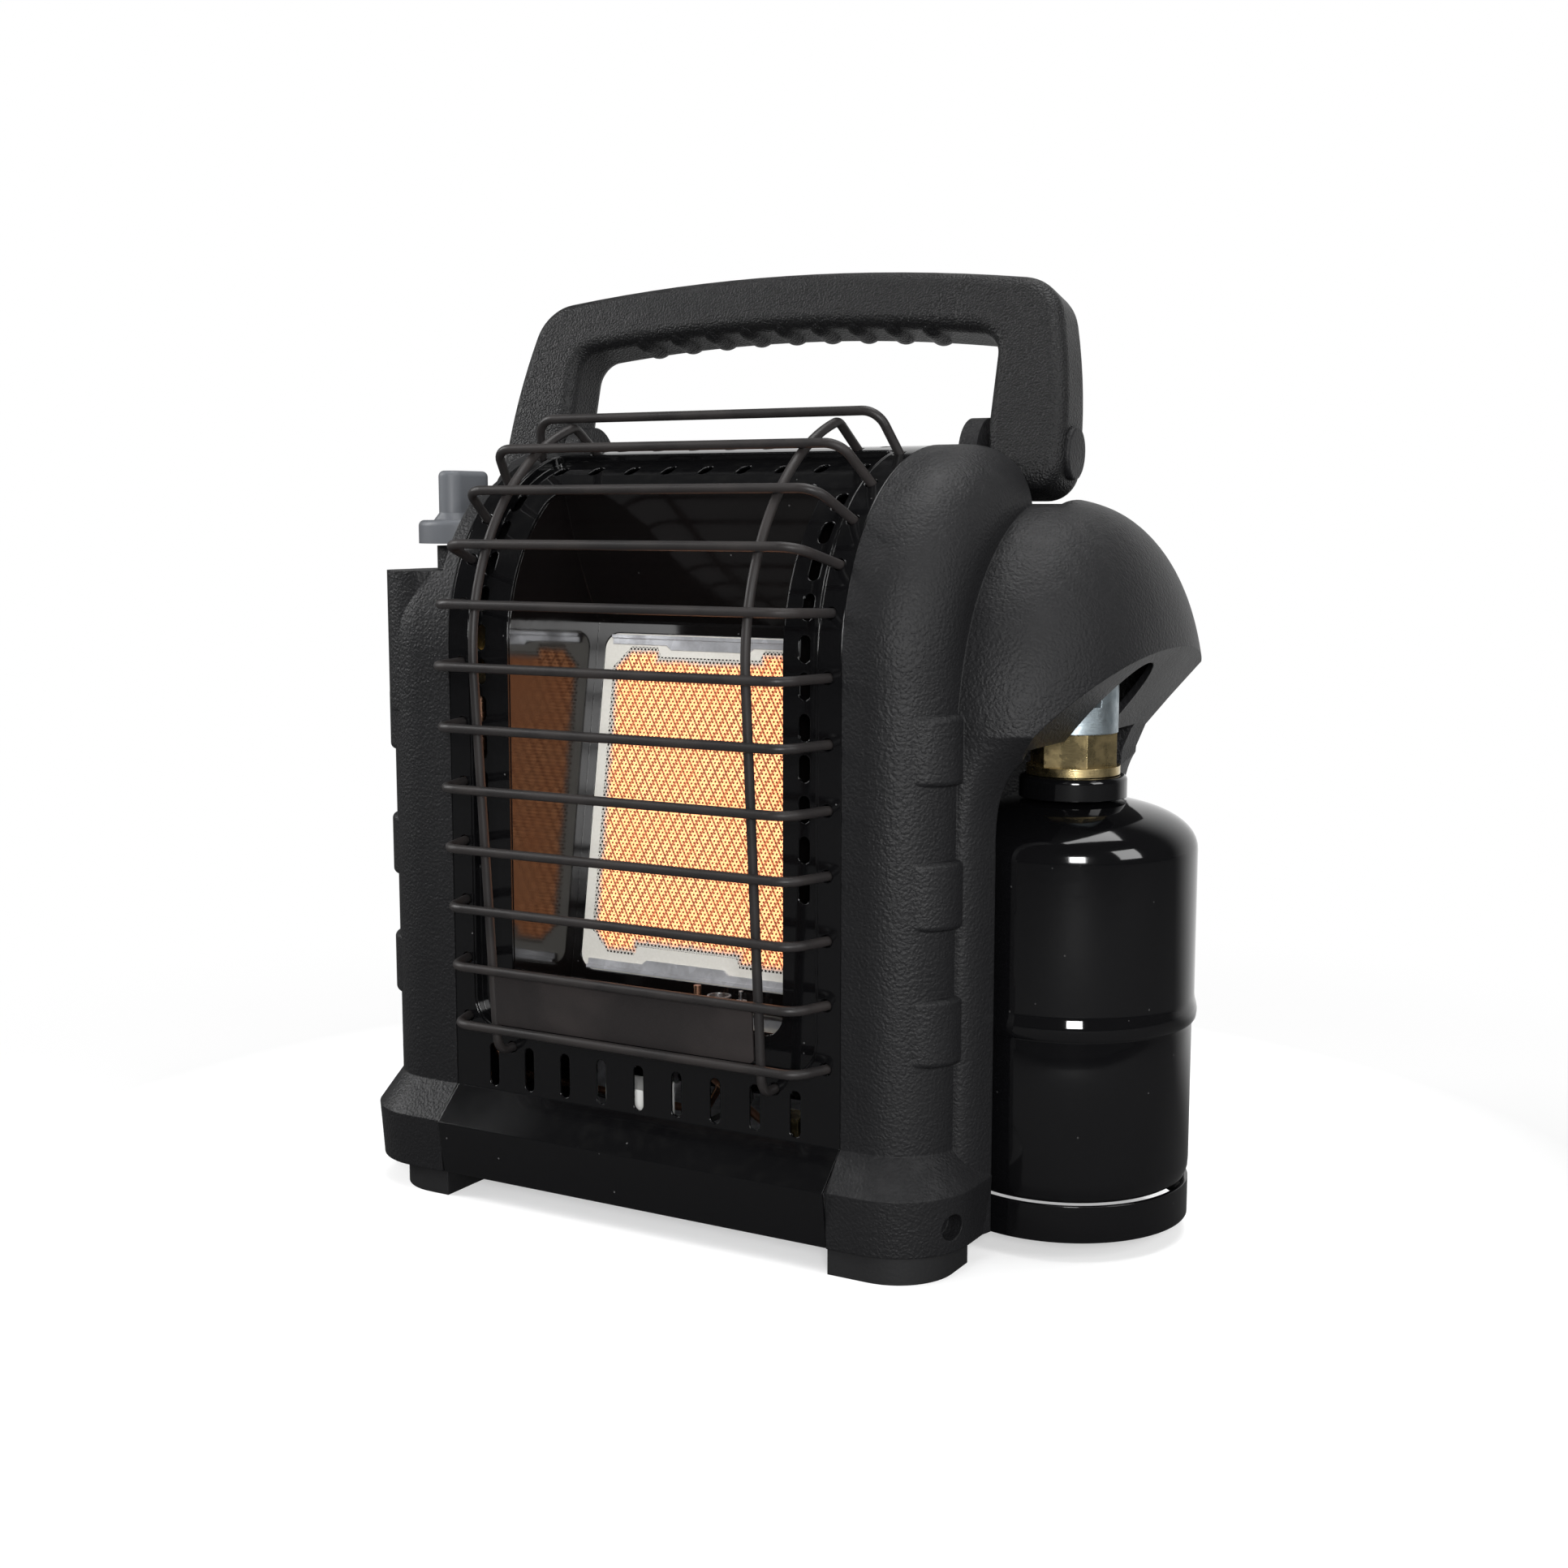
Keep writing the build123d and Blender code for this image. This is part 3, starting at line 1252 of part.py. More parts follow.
with BuildPart() as burner_orifice:
    with BuildSketch(facing_side(orifice_x - orifice_length / 2)):
        with Locations((venturi_y, venturi_z)):
            RegularPolygon(orifice_flats / 2, 6, major_radius=False)
    extrude(amount=orifice_length)
    round_bar(facing_side(0), venturi_y, venturi_z, small_tube_radius, orifice_x - orifice_length / 2,
              orifice_x + orifice_length / 2, Mode.SUBTRACT)
burner_orifice.part.label = "burner_orifice"
export_step(burner_orifice.part, "parts/burner_orifice.step")

with BuildPart() as orifice_bracket:
    with BuildSketch(facing_side(orifice_x)):
        with Locations((venturi_y, (orifice_plate_top_z + base_z + sheet) / 2)):
            Rectangle(orifice_plate_width, orifice_plate_top_z - base_z - sheet)
        with Locations((venturi_y, venturi_z)):
            RegularPolygon(orifice_flats / 2, 6, major_radius=False, mode=Mode.SUBTRACT)
    extrude(amount=orifice_plate)
    box_cut(orifice_x - orifice_foot, orifice_x, venturi_y - orifice_plate_width / 2,
            venturi_y + orifice_plate_width / 2, base_z + sheet, base_z + sheet + orifice_plate, Mode.ADD)
orifice_bracket.part.label = "orifice_bracket"
export_step(orifice_bracket.part, "parts/orifice_bracket.step")

orifice_in_x = orifice_x - orifice_length / 2
burner_tube_x = knob_x + valve_half - 2 * small_tube_radius - burner_tube_in
with BuildPart() as burner_tube:
    tube_run([(burner_tube_x, knob_y, valve_low_z), (burner_tube_x, knob_y, 2 * venturi_z),
              (burner_tube_x + valve_port_radius, venturi_y, venturi_z),
              (orifice_in_x, venturi_y, venturi_z)],
             burner_tube_radius, burner_tube_radius - tube_wall, 3 * burner_tube_radius)
burner_tube.part.label = "burner_tube"
export_step(burner_tube.part, "parts/burner_tube.step")

with BuildPart() as pilot_bracket:
    with BuildSketch(level(chamber_low_z - sheet - pilot_plate)):
        with Locations((pilot_x, pilot_y)):
            Rectangle(pilot_hole + 4 * wall, pilot_hole_depth + 4 * wall)
            Circle(pilot_radius, mode=Mode.SUBTRACT)
        with Locations((pilot_x - pilot_spacing, pilot_y)):
            Circle(small_tube_radius, mode=Mode.SUBTRACT)
        with Locations((pilot_x + pilot_spacing, pilot_y)):
            Circle(electrode_radius, mode=Mode.SUBTRACT)
    extrude(amount=pilot_plate)
pilot_bracket.part.label = "pilot_bracket"
export_step(pilot_bracket.part, "parts/pilot_bracket.step")

with BuildPart() as pilot_burner:
    round_bar(level(0), pilot_x, pilot_y, pilot_radius, pilot_low_z, pilot_top_z)
    round_bar(level(0), pilot_x, pilot_y, pilot_radius - tube_wall, chamber_low_z, pilot_top_z,
              Mode.SUBTRACT)
pilot_burner.part.label = "pilot_burner"
export_step(pilot_burner.part, "parts/pilot_burner.step")

with BuildPart() as pilot_tube:
    tube_run([(knob_x + wall, knob_y - 2 * wall, z) for z in (valve_low_z, pilot_drop_z)]
             + [(x, pilot_route_y, z) for x, z in pilot_route]
             + [(pilot_x, pilot_y, pilot_rise_z), (pilot_x, pilot_y, pilot_low_z)],
             small_tube_radius, small_tube_radius / 2, 4 * small_tube_radius)
pilot_tube.part.label = "pilot_tube"
export_step(pilot_tube.part, "parts/pilot_tube.step")

with BuildPart() as thermocouple:
    tube_run([(pilot_x - pilot_spacing, pilot_y, pilot_top_z + wall),
              (pilot_x - pilot_spacing, pilot_y, thermocouple_bend_z),
              (junction_x - 2 * junction_half, junction_y, junction_z),
              (junction_x - junction_half, junction_y, junction_z)],
             small_tube_radius, 0, 3 * small_tube_radius)
thermocouple.part.label = "thermocouple"
export_step(thermocouple.part, "parts/thermocouple.step")

with BuildPart() as lead_junction:
    box_cut(junction_x - junction_half, junction_x + junction_half, junction_y - junction_half,
            junction_y + junction_half, junction_z - junction_half, junction_z + junction_half, Mode.ADD)
    box_cut(junction_x - wall, junction_x + wall, junction_y - wall, junction_y + wall, base_z + sheet,
            junction_z - junction_half, Mode.ADD)
lead_junction.part.label = "lead_junction"
export_step(lead_junction.part, "parts/lead_junction.step")

with BuildPart() as switch_lead:
    tube_run([(junction_x, junction_y - junction_half, junction_z),
              (junction_x, lead_low_y + lead_back, junction_z),
              (junction_x, lead_low_y, lead_low_z + lead_rise),
              (junction_x - lead_run, lead_low_y, lead_low_z), (lead_turn_x, lead_low_y, lead_low_z),
              (knob_x + lead_drop[0], knob_y + lead_drop[1], lead_drop[2]),
              (knob_x + lead_drop[0], knob_y + lead_drop[1], valve_low_z)],
             small_tube_radius, 0, 3 * small_tube_radius)
switch_lead.part.label = "switch_lead"
export_step(switch_lead.part, "parts/switch_lead.step")

with BuildPart() as tip_over_switch:
    with BuildSketch(level(base_z + sheet)):
        with Locations((switch_x, switch_y)):
            RectangleRounded(switch_width, switch_depth, moulding_round)
    extrude(amount=switch_height)
tip_over_switch.part.label = "tip_over_switch"
export_step(tip_over_switch.part, "parts/tip_over_switch.step")

with BuildPart() as spark_electrode:
    round_bar(level(0), pilot_x + pilot_spacing, pilot_y, electrode_radius, pilot_low_z,
              chamber_low_z + wall)
    round_bar(level(0), pilot_x + pilot_spacing, pilot_y, electrode_tip_radius, chamber_low_z + wall,
              pilot_top_z + wall)
spark_electrode.part.label = "spark_electrode"
export_step(spark_electrode.part, "parts/spark_electrode.step")

with BuildPart() as ignition_lead:
    tube_run([(knob_x, piezo_y, valve_plate_z - piezo_height), (knob_x, piezo_y, ignition_low_z),
              (ignition_turn[0], piezo_y, ignition_turn[1]), *ignition_route]
             + [(pilot_x + pilot_spacing, y, z) for y, z in ignition_rise]
             + [(pilot_x + pilot_spacing, pilot_y, pilot_low_z)], lead_radius, 0, 3 * lead_radius)
ignition_lead.part.label = "ignition_lead"
export_step(ignition_lead.part, "parts/ignition_lead.step")

# ---------------------------------------------------------------- regulator and its swivel

flange_front_y = drum_back_y + seam
with BuildPart() as swivel_fitting:
    round_bar(facing_front(0), swing_x, swing_z, spigot_radius, -spigot_front_y, -spigot_end_y)
    round_bar(facing_front(0), swing_x, swing_z, spigot_flange_radius, -flange_front_y,
              -(flange_front_y + spigot_flange))
    round_bar(facing_front(0), swing_x, swing_z, spigot_radius - wall, -spigot_front_y,
              -spigot_end_y, Mode.SUBTRACT)
swivel_fitting.part.label = "swivel_fitting"
export_step(swivel_fitting.part, "parts/swivel_fitting.step")

bracket_front_y = cylinder_y + neck_slot_half + swivel_gap
ceiling_z = well_top_z + wall
with BuildPart() as swivel_bracket:
    with BuildSketch(facing_front(bracket_front_y)):
        with Locations(((swivel_inner_x + swivel_outer_x) / 2, (ceiling_z + swivel_top_z) / 2)):
            Rectangle(swivel_outer_x - swivel_inner_x, swivel_top_z - ceiling_z)
        with Locations((swing_x, swing_z)):
            Circle(spigot_radius, mode=Mode.SUBTRACT)
    extrude(amount=-swivel_sheet)
    box_cut(swivel_inner_x, swivel_outer_x, bracket_front_y, bracket_front_y + swivel_foot,
            ceiling_z, ceiling_z + swivel_sheet, Mode.ADD)
swivel_bracket.part.label = "swivel_bracket"
export_step(swivel_bracket.part, "parts/swivel_bracket.step")

with BuildPart() as supply_tube:
    tube_run([(swing_x, spigot_end_y, swing_z), (swing_x, supply_back_y, swing_z),
              (supply_turn_x, supply_back_y, swing_z), (supply_turn_x, knob_y, valve_inlet_z),
              (knob_x + valve_half + valve_port_length, knob_y, valve_inlet_z)],
             tube_radius, tube_radius - tube_wall, supply_bend)
supply_tube.part.label = "supply_tube"
export_step(supply_tube.part, "parts/supply_tube.step")

with BuildPart() as regulator_body:
    round_bar(facing_front(0), swing_x, swing_z, drum_radius, -cover_back_y, -drum_back_y)
    fillet(regulator_body.edges().filter_by(GeomType.CIRCLE).group_by(Axis.Y)[-1], drum_round)
    with BuildSketch(level(stem_low_z)):
        with Locations((cylinder_x, cylinder_y)):
            Circle(stem_r)
    extrude(amount=drum_stem_top_z - stem_low_z)
    box_cut(cylinder_x - drum_radius, cylinder_x + drum_radius, tower_front_y, cover_back_y,
            swing_z - drum_radius - seam, swing_z)
    round_bar(facing_front(0), swing_x, swing_z, drum_radius - 2 * wall, -cover_back_y,
              -(cover_back_y + chamber_depth), Mode.SUBTRACT)
    round_bar(facing_front(0), swing_x, swing_z, spigot_radius + spigot_clearance, -(spigot_front_y - seam),
              -drum_back_y, Mode.SUBTRACT)
regulator_body.part.label = "regulator_body"
export_step(regulator_body.part, "parts/regulator_body.step")

with BuildPart() as regulator_cap:
    round_bar(facing_front(0), swing_x, swing_z, drum_radius, -drum_front_y, -cover_back_y)
    round_bar(facing_front(0), swing_x, swing_z, spring_tower_radius, -tower_front_y, -drum_front_y)
    fillet(regulator_cap.edges().filter_by(GeomType.CIRCLE).group_by(Axis.Y)[0], drum_round)
regulator_cap.part.label = "regulator_cap"
export_step(regulator_cap.part, "parts/regulator_cap.step")

with BuildPart() as regulator_inlet_nut:
    with BuildSketch(level(nut_low_z + nut_flange_height)):
        with Locations((cylinder_x, cylinder_y)):
            RegularPolygon(nut_flats / 2, 6, major_radius=False, rotation=nut_turn)
    extrude(amount=stem_low_z - nut_low_z - nut_flange_height)
    round_bar(level(0), cylinder_x, cylinder_y, nut_flange, nut_low_z, nut_low_z + nut_flange_height)
    round_bar(level(0), cylinder_x, cylinder_y, thread_radius + thread_clearance, nut_low_z, stem_low_z,
              Mode.SUBTRACT)
regulator_inlet_nut.part.label = "regulator_inlet_nut"
export_step(regulator_inlet_nut.part, "parts/regulator_inlet_nut.step")

with BuildPart() as inlet_seal:
    round_bar(level(0), cylinder_x, cylinder_y, thread_radius + thread_clearance, neck_top_z + seam,
              stem_low_z)
    round_bar(level(0), cylinder_x, cylinder_y, seal_bore, neck_top_z + seam, stem_low_z, Mode.SUBTRACT)
inlet_seal.part.label = "inlet_seal"
export_step(inlet_seal.part, "parts/inlet_seal.step")

# ---------------------------------------------------------------- cylinder

cylinder_plane = Plane(origin=place(cylinder_x, cylinder_y, 0), x_dir=(1, 0, 0), z_dir=(0, -1, 0))
cylinder_axis = Axis(place(cylinder_x, cylinder_y, 0), (0, 0, 1))


def cylinder_profile(inset):
    """Half section of the pressed cylinder, drawn in by its wall."""
    out = cylinder_radius - inset
    neck = thread_radius - inset
    low, knuckle = cylinder_ring_top_z + inset, cylinder_ring_top_z + cylinder_knuckle
    top = cylinder_dome_z - inset
    with BuildSketch(cylinder_plane) as profile:
        with BuildLine() as outline:
            Polyline((0, low - cylinder_belly),
                     (cylinder_ring_radius - 2 * cylinder_wall - cylinder_knuckle, low),
                     (cylinder_ring_radius - inset, low), (out, knuckle), (out, cylinder_wall_top_z))
            Spline((out, cylinder_wall_top_z),
                   *[(x * out, cylinder_wall_top_z + rise * (top - cylinder_wall_top_z))
                     for x, rise in cylinder_shoulder],
                   (neck, top), tangents=((0, 1), (-1, 0)))
            Polyline((neck, top), (0, top), (0, low - cylinder_belly))
        make_face(outline.edges())
    return profile.sketch


with BuildPart() as cylinder_shell:
    revolve(cylinder_profile(0), axis=cylinder_axis)
    revolve(cylinder_profile(cylinder_wall), axis=cylinder_axis, mode=Mode.SUBTRACT)
    round_bar(level(0), cylinder_x, cylinder_y, thread_radius, cylinder_dome_z - cylinder_wall, neck_top_z)
    round_bar(level(0), cylinder_x, cylinder_y, thread_radius - neck_wall,
              cylinder_dome_z - 2 * cylinder_wall, neck_top_z, Mode.SUBTRACT)
cylinder_shell.part.label = "cylinder_shell"
export_step(cylinder_shell.part, "parts/cylinder_shell.step")

with BuildPart() as cylinder_foot_ring:
    with BuildSketch(level(cylinder_low_z)):
        with Locations((cylinder_x, cylinder_y)):
            Circle(cylinder_ring_radius)
            Circle(cylinder_ring_radius - cylinder_wall, mode=Mode.SUBTRACT)
    extrude(amount=cylinder_ring_top_z - cylinder_low_z)
cylinder_foot_ring.part.label = "cylinder_foot_ring"
export_step(cylinder_foot_ring.part, "parts/cylinder_foot_ring.step")

with BuildPart() as cylinder_collar:
    round_bar(level(0), cylinder_x, cylinder_y, collar_radius, cylinder_dome_z + seam, nut_low_z - seam)
    round_bar(level(0), cylinder_x, cylinder_y, thread_radius, cylinder_dome_z + seam, nut_low_z - seam,
              Mode.SUBTRACT)
    fillet(cylinder_collar.faces().sort_by(Axis.Z)[-1].edges().sort_by(SortBy.LENGTH)[-1], moulding_round)
cylinder_collar.part.label = "cylinder_collar"
export_step(cylinder_collar.part, "parts/cylinder_collar.step")

with BuildPart() as cylinder_valve:
    round_bar(level(0), cylinder_x, cylinder_y, thread_radius - neck_wall, cylinder_dome_z,
              neck_top_z - wall)
cylinder_valve.part.label = "cylinder_valve"
export_step(cylinder_valve.part, "parts/cylinder_valve.step")

# ---------------------------------------------------------------- screws

with BuildPart() as rear_panel_screws:
    for x, z in rear_screws:
        pan_screw(facing_back(back_y), -x, z, screw_length)
rear_panel_screws.part.label = "rear_panel_screws"
export_step(rear_panel_screws.part, "parts/rear_panel_screws.step")

with BuildPart() as base_screw_set:
    for x, y in base_screws:
        pan_screw(facing_down(base_z), x, -y, screw_length)
base_screw_set.part.label = "base_screws"
export_step(base_screw_set.part, "parts/base_screws.step")
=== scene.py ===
import json
import math

import bmesh
import bpy
from mathutils import Euler, Matrix, Vector


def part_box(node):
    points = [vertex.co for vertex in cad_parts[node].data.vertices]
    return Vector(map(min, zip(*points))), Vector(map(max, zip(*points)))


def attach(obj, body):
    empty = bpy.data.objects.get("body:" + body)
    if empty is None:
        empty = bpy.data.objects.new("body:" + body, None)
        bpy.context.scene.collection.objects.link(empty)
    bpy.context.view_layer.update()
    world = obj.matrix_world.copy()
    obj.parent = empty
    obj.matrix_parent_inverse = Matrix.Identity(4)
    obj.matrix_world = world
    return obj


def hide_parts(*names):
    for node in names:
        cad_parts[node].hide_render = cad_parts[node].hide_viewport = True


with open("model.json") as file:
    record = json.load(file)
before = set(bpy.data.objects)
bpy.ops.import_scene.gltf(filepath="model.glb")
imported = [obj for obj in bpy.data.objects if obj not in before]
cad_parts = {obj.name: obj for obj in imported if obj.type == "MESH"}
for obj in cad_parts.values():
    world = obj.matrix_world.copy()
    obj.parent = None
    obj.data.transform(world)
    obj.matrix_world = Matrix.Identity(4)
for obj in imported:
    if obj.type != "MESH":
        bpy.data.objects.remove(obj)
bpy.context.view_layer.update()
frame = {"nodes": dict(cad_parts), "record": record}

# Portable propane heater. Sizes are in millimetres and turned into metres by mm(). Places on
# the heater are measured from the casing's middle, from the sill's nose and from the floor.
# Texture scales are in cells or waves per metre, lamps in watts.

# ---------------------------------------------------------------- sizes and places


def mm(*values):
    """Millimetres as metres: one number, or a point."""
    return values[0] / 1000 if len(values) == 1 else Vector(values) / 1000


panel_low, panel_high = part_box("front_panel")
CASING_MIDDLE = (panel_low.x + panel_high.x) / 2
SILL_NOSE = panel_low.y


def place(x, y, z):
    """A place on the heater, in the shared frame."""
    return Vector((CASING_MIDDLE, SILL_NOSE, 0)) + mm(x, y, z)


TILE_LEAN = math.radians(9)
TILE_HALF = 60.5
TILE_HEIGHT = 146.0
TILE_THICKNESS = 13.0
TILE_CORNER = 7.0
HOLE_PITCH = 1.8
HOLE_RADIUS = 0.6
HOLE_DEPTH = 1.8
DIAMOND_HOLES = 3             # pitches of holes along a raised diamond
FIELD_DROP = 0.15             # the drilled field lies this far behind the border's face
FIELD_UNDERLAP = 1.0          # the drilled rows start this far below the field's edge
FIELD_HALF = 56.0
FIELD_LOW, FIELD_HIGH = 8.0, 140.5
FIELD_CORNER = 9.0            # cut corners of the drilled field
TONGUE_X = -7.0               # where the field draws back from the brackets' tongues
TONGUE_HALF = 24.5
TONGUE_STEP = 4.0
TONGUE_SLOPE = 2.0
UNLIT_RIM, LIT_FROM = 2.4, 6.0      # the field is dark at its edge and burns from here inwards
FLICKER_REACH = 3.0
SEAM_HALF = 0.03, 0.13        # shares of a diamond over which its groove rises to its top
SUNK_BELOW = -0.3
HOT_SHARE = 0.22              # how much the hotter patches tell

CYLINDER_LOW_Z = 22.6
CYLINDER_GIRTH_Z = 91.4
CYLINDER_SHOULDER_Z = 157.0
CYLINDER_NECK_Z = 176.0
CYLINDER_NECK_RADIUS = 12.7
UPPER_INSET = 1.1             # the drawn halves lie this far inside the girth seam's lip
LOWER_INSET = 1.9
SHOULDER_STEPS = 15
LATHE_STEPS = 96
CYLINDER_SMOOTH_BELOW = 35.0  # degrees
MERGE_DISTANCE = 0.02

FLOOR_HALF = 6.0
FLOOR_GLOSS_TONE = 0.09       # the floor is darker where gloss mirrors it
FLOOR_LIFT = 0.42
FLOOR_FADE = 0.16, 0.62       # metres from the heater over which the floor runs out to white
REAR_FADE = 0.55, 0.95        # how far to the rear a mirrored ray points before it sees white
ROOM_LIGHT = 0.34
ROOM_DARK = 0.05

tile_low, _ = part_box("burner_tile")
tile_foot = Vector((CASING_MIDDLE, tile_low.y, tile_low.z + mm(TILE_THICKNESS) * math.sin(TILE_LEAN)))
tile_axes = Matrix(((1, 0, 0), (0, math.sin(TILE_LEAN), -math.cos(TILE_LEAN)),
                    (0, math.cos(TILE_LEAN), math.sin(TILE_LEAN))))
TILE_PLACE = Matrix.Translation(tile_foot) @ tile_axes.to_4x4()

shell_low, shell_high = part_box("cylinder_shell")
CYLINDER_AXIS = Vector(((shell_low.x + shell_high.x) / 2, (shell_low.y + shell_high.y) / 2, 0))
CYLINDER_RADIUS = (shell_high.x - shell_low.x) / 2


# ---------------------------------------------------------------- shared node groups


def new_group(name, inputs, outputs):
    """An empty shader group with float and vector sockets, and its input and output nodes."""
    tree = bpy.data.node_groups.new(name, "ShaderNodeTree")
    for socket, kind, value in inputs:
        made = tree.interface.new_socket(socket, in_out="INPUT", socket_type=kind)
        if value is not None:
            made.default_value = value
    for socket, kind in outputs:
        tree.interface.new_socket(socket, in_out="OUTPUT", socket_type=kind)
    return tree, tree.nodes.new("NodeGroupInput"), tree.nodes.new("NodeGroupOutput")


def add_node(tree, kind, inputs=(), **settings):
    """Adds a node, sets its options and fills or links its inputs."""
    node = tree.nodes.new("ShaderNode" + kind)
    for option, value in settings.items():
        setattr(node, option, value)
    for socket, value in dict(inputs).items():
        if isinstance(value, bpy.types.NodeSocket):
            tree.links.new(value, node.inputs[socket])
        else:
            node.inputs[socket].default_value = value
    return node


def add_math(tree, operation, *values):
    """Adds a Math node and returns its result."""
    node = add_node(tree, "Math", operation=operation)
    for socket, value in zip(node.inputs, values):
        if isinstance(value, bpy.types.NodeSocket):
            tree.links.new(value, socket)
        else:
            socket.default_value = value
    return node.outputs[0]


def add_range(tree, value, low, high, to_low=0.0, to_high=1.0, smooth=True):
    """Maps a value from one range to another."""
    node = add_node(tree, "MapRange", {"Value": value, "From Min": low, "From Max": high,
                                       "To Min": to_low, "To Max": to_high},
                    interpolation_type="SMOOTHSTEP" if smooth else "LINEAR")
    return node.outputs["Result"]


def make_grain_group():
    """Moulded grain: pebbles broken up by finer noise, as a height and a cell mask."""
    tree, given, result = new_group(
        "moulded_grain",
        [("Vector", "NodeSocketVector", None), ("Cells", "NodeSocketFloat", 900.0),
         ("Warp", "NodeSocketFloat", 0.4)],
        [("Height", "NodeSocketFloat"), ("Patches", "NodeSocketFloat")])
    point = given.outputs["Vector"]
    drift = add_node(tree, "TexNoise", {"Vector": point, "Scale": 420.0, "Detail": 3.0})
    pushed = add_node(tree, "VectorMath", {0: drift.outputs["Color"], 1: (0.5, 0.5, 0.5)},
                      operation="SUBTRACT")
    reach = add_math(tree, "DIVIDE", given.outputs["Warp"], given.outputs["Cells"])
    moved = add_node(tree, "VectorMath", {0: pushed.outputs[0], "Scale": reach}, operation="SCALE")
    where = add_node(tree, "VectorMath", {0: point, 1: moved.outputs[0]}, operation="ADD")
    cells = add_node(tree, "TexVoronoi", {"Vector": where.outputs[0], "Scale": given.outputs["Cells"]},
                     feature="SMOOTH_F1")
    fine = add_node(tree, "TexNoise", {"Vector": point, "Scale": 2600.0, "Detail": 2.0})
    pebbles = add_math(tree, "SUBTRACT", 1.0, cells.outputs["Distance"])
    height = add_math(tree, "MULTIPLY_ADD", fine.outputs["Fac"], 0.35, pebbles)
    wide = add_node(tree, "TexNoise", {"Vector": point, "Scale": 22.0, "Detail": 5.0})
    tree.links.new(height, result.inputs["Height"])
    tree.links.new(wide.outputs["Fac"], result.inputs["Patches"])
    return tree


def make_handling_group():
    """Traces of handling: faint smears, dust that settles on upward faces, and small specks."""
    tree, given, result = new_group(
        "handling",
        [("Vector", "NodeSocketVector", None), ("Smear scale", "NodeSocketFloat", 18.0)],
        [("Smears", "NodeSocketFloat"), ("Dust", "NodeSocketFloat"), ("Specks", "NodeSocketFloat")])
    point = given.outputs["Vector"]
    smears = add_node(tree, "TexNoise", {"Vector": point, "Scale": given.outputs["Smear scale"],
                                         "Detail": 6.0, "Distortion": 0.6})
    geometry = add_node(tree, "NewGeometry")
    facing = add_node(tree, "SeparateXYZ", {0: geometry.outputs["Normal"]})
    lint = add_node(tree, "TexNoise", {"Vector": point, "Scale": 160.0, "Detail": 8.0})
    settled = add_math(tree, "MULTIPLY", add_range(tree, facing.outputs["Z"], 0.2, 1.0),
                       add_range(tree, lint.outputs["Fac"], 0.42, 0.75))
    grit = add_node(tree, "TexVoronoi", {"Vector": point, "Scale": 190.0})
    specks = add_range(tree, grit.outputs["Distance"], 0.09, 0.05)
    chance = add_node(tree, "SeparateColor", {0: grit.outputs["Color"]})
    kept = add_math(tree, "MULTIPLY", specks, add_range(tree, chance.outputs[0], 0.86, 0.9))
    tree.links.new(add_range(tree, smears.outputs["Fac"], 0.35, 0.7), result.inputs["Smears"])
    tree.links.new(settled, result.inputs["Dust"])
    tree.links.new(kept, result.inputs["Specks"])
    return tree


def make_ripple_group():
    """Orange peel of sprayed enamel, with a slower sag under it, as a height."""
    tree, given, result = new_group(
        "enamel_ripple", [("Vector", "NodeSocketVector", None)], [("Height", "NodeSocketFloat")])
    point = given.outputs["Vector"]
    peel = add_node(tree, "TexNoise", {"Vector": point, "Scale": 210.0, "Detail": 1.0})
    sag = add_node(tree, "TexNoise", {"Vector": point, "Scale": 34.0, "Detail": 2.0})
    height = add_math(tree, "MULTIPLY_ADD", sag.outputs["Fac"], 3.0, peel.outputs["Fac"])
    tree.links.new(height, result.inputs["Height"])
    return tree


def make_metal_group():
    """Bare metal: crystal spangle, fine drawn lines and stains, as masks."""
    tree, given, result = new_group(
        "bare_metal",
        [("Vector", "NodeSocketVector", None), ("Crystals", "NodeSocketFloat", 160.0)],
        [("Spangle", "NodeSocketFloat"), ("Stains", "NodeSocketFloat"),
         ("Scratches", "NodeSocketFloat")])
    point = given.outputs["Vector"]
    crystals = add_node(tree, "TexVoronoi", {"Vector": point, "Scale": given.outputs["Crystals"]})
    tone = add_node(tree, "SeparateColor", {0: crystals.outputs["Color"]})
    stains = add_node(tree, "TexNoise", {"Vector": point, "Scale": 85.0, "Detail": 8.0,
                                         "Roughness": 0.65})
    stretched = add_node(tree, "Mapping", {"Vector": point, "Scale": (1.0, 1.0, 12.0)})
    lines = add_node(tree, "TexNoise", {"Vector": stretched.outputs[0], "Scale": 260.0, "Detail": 6.0})
    tree.links.new(tone.outputs[0], result.inputs["Spangle"])
    tree.links.new(add_range(tree, stains.outputs["Fac"], 0.4, 0.66), result.inputs["Stains"])
    tree.links.new(lines.outputs["Fac"], result.inputs["Scratches"])
    return tree


def mirrored_rays(tree, seen):
    """One for rays that gloss or glass sends on."""
    return add_math(tree, "MAXIMUM", seen.outputs["Is Glossy Ray"], seen.outputs["Is Transmission Ray"])


GRAIN = make_grain_group()
HANDLING = make_handling_group()
RIPPLE = make_ripple_group()
BARE_METAL = make_metal_group()


# ---------------------------------------------------------------- materials


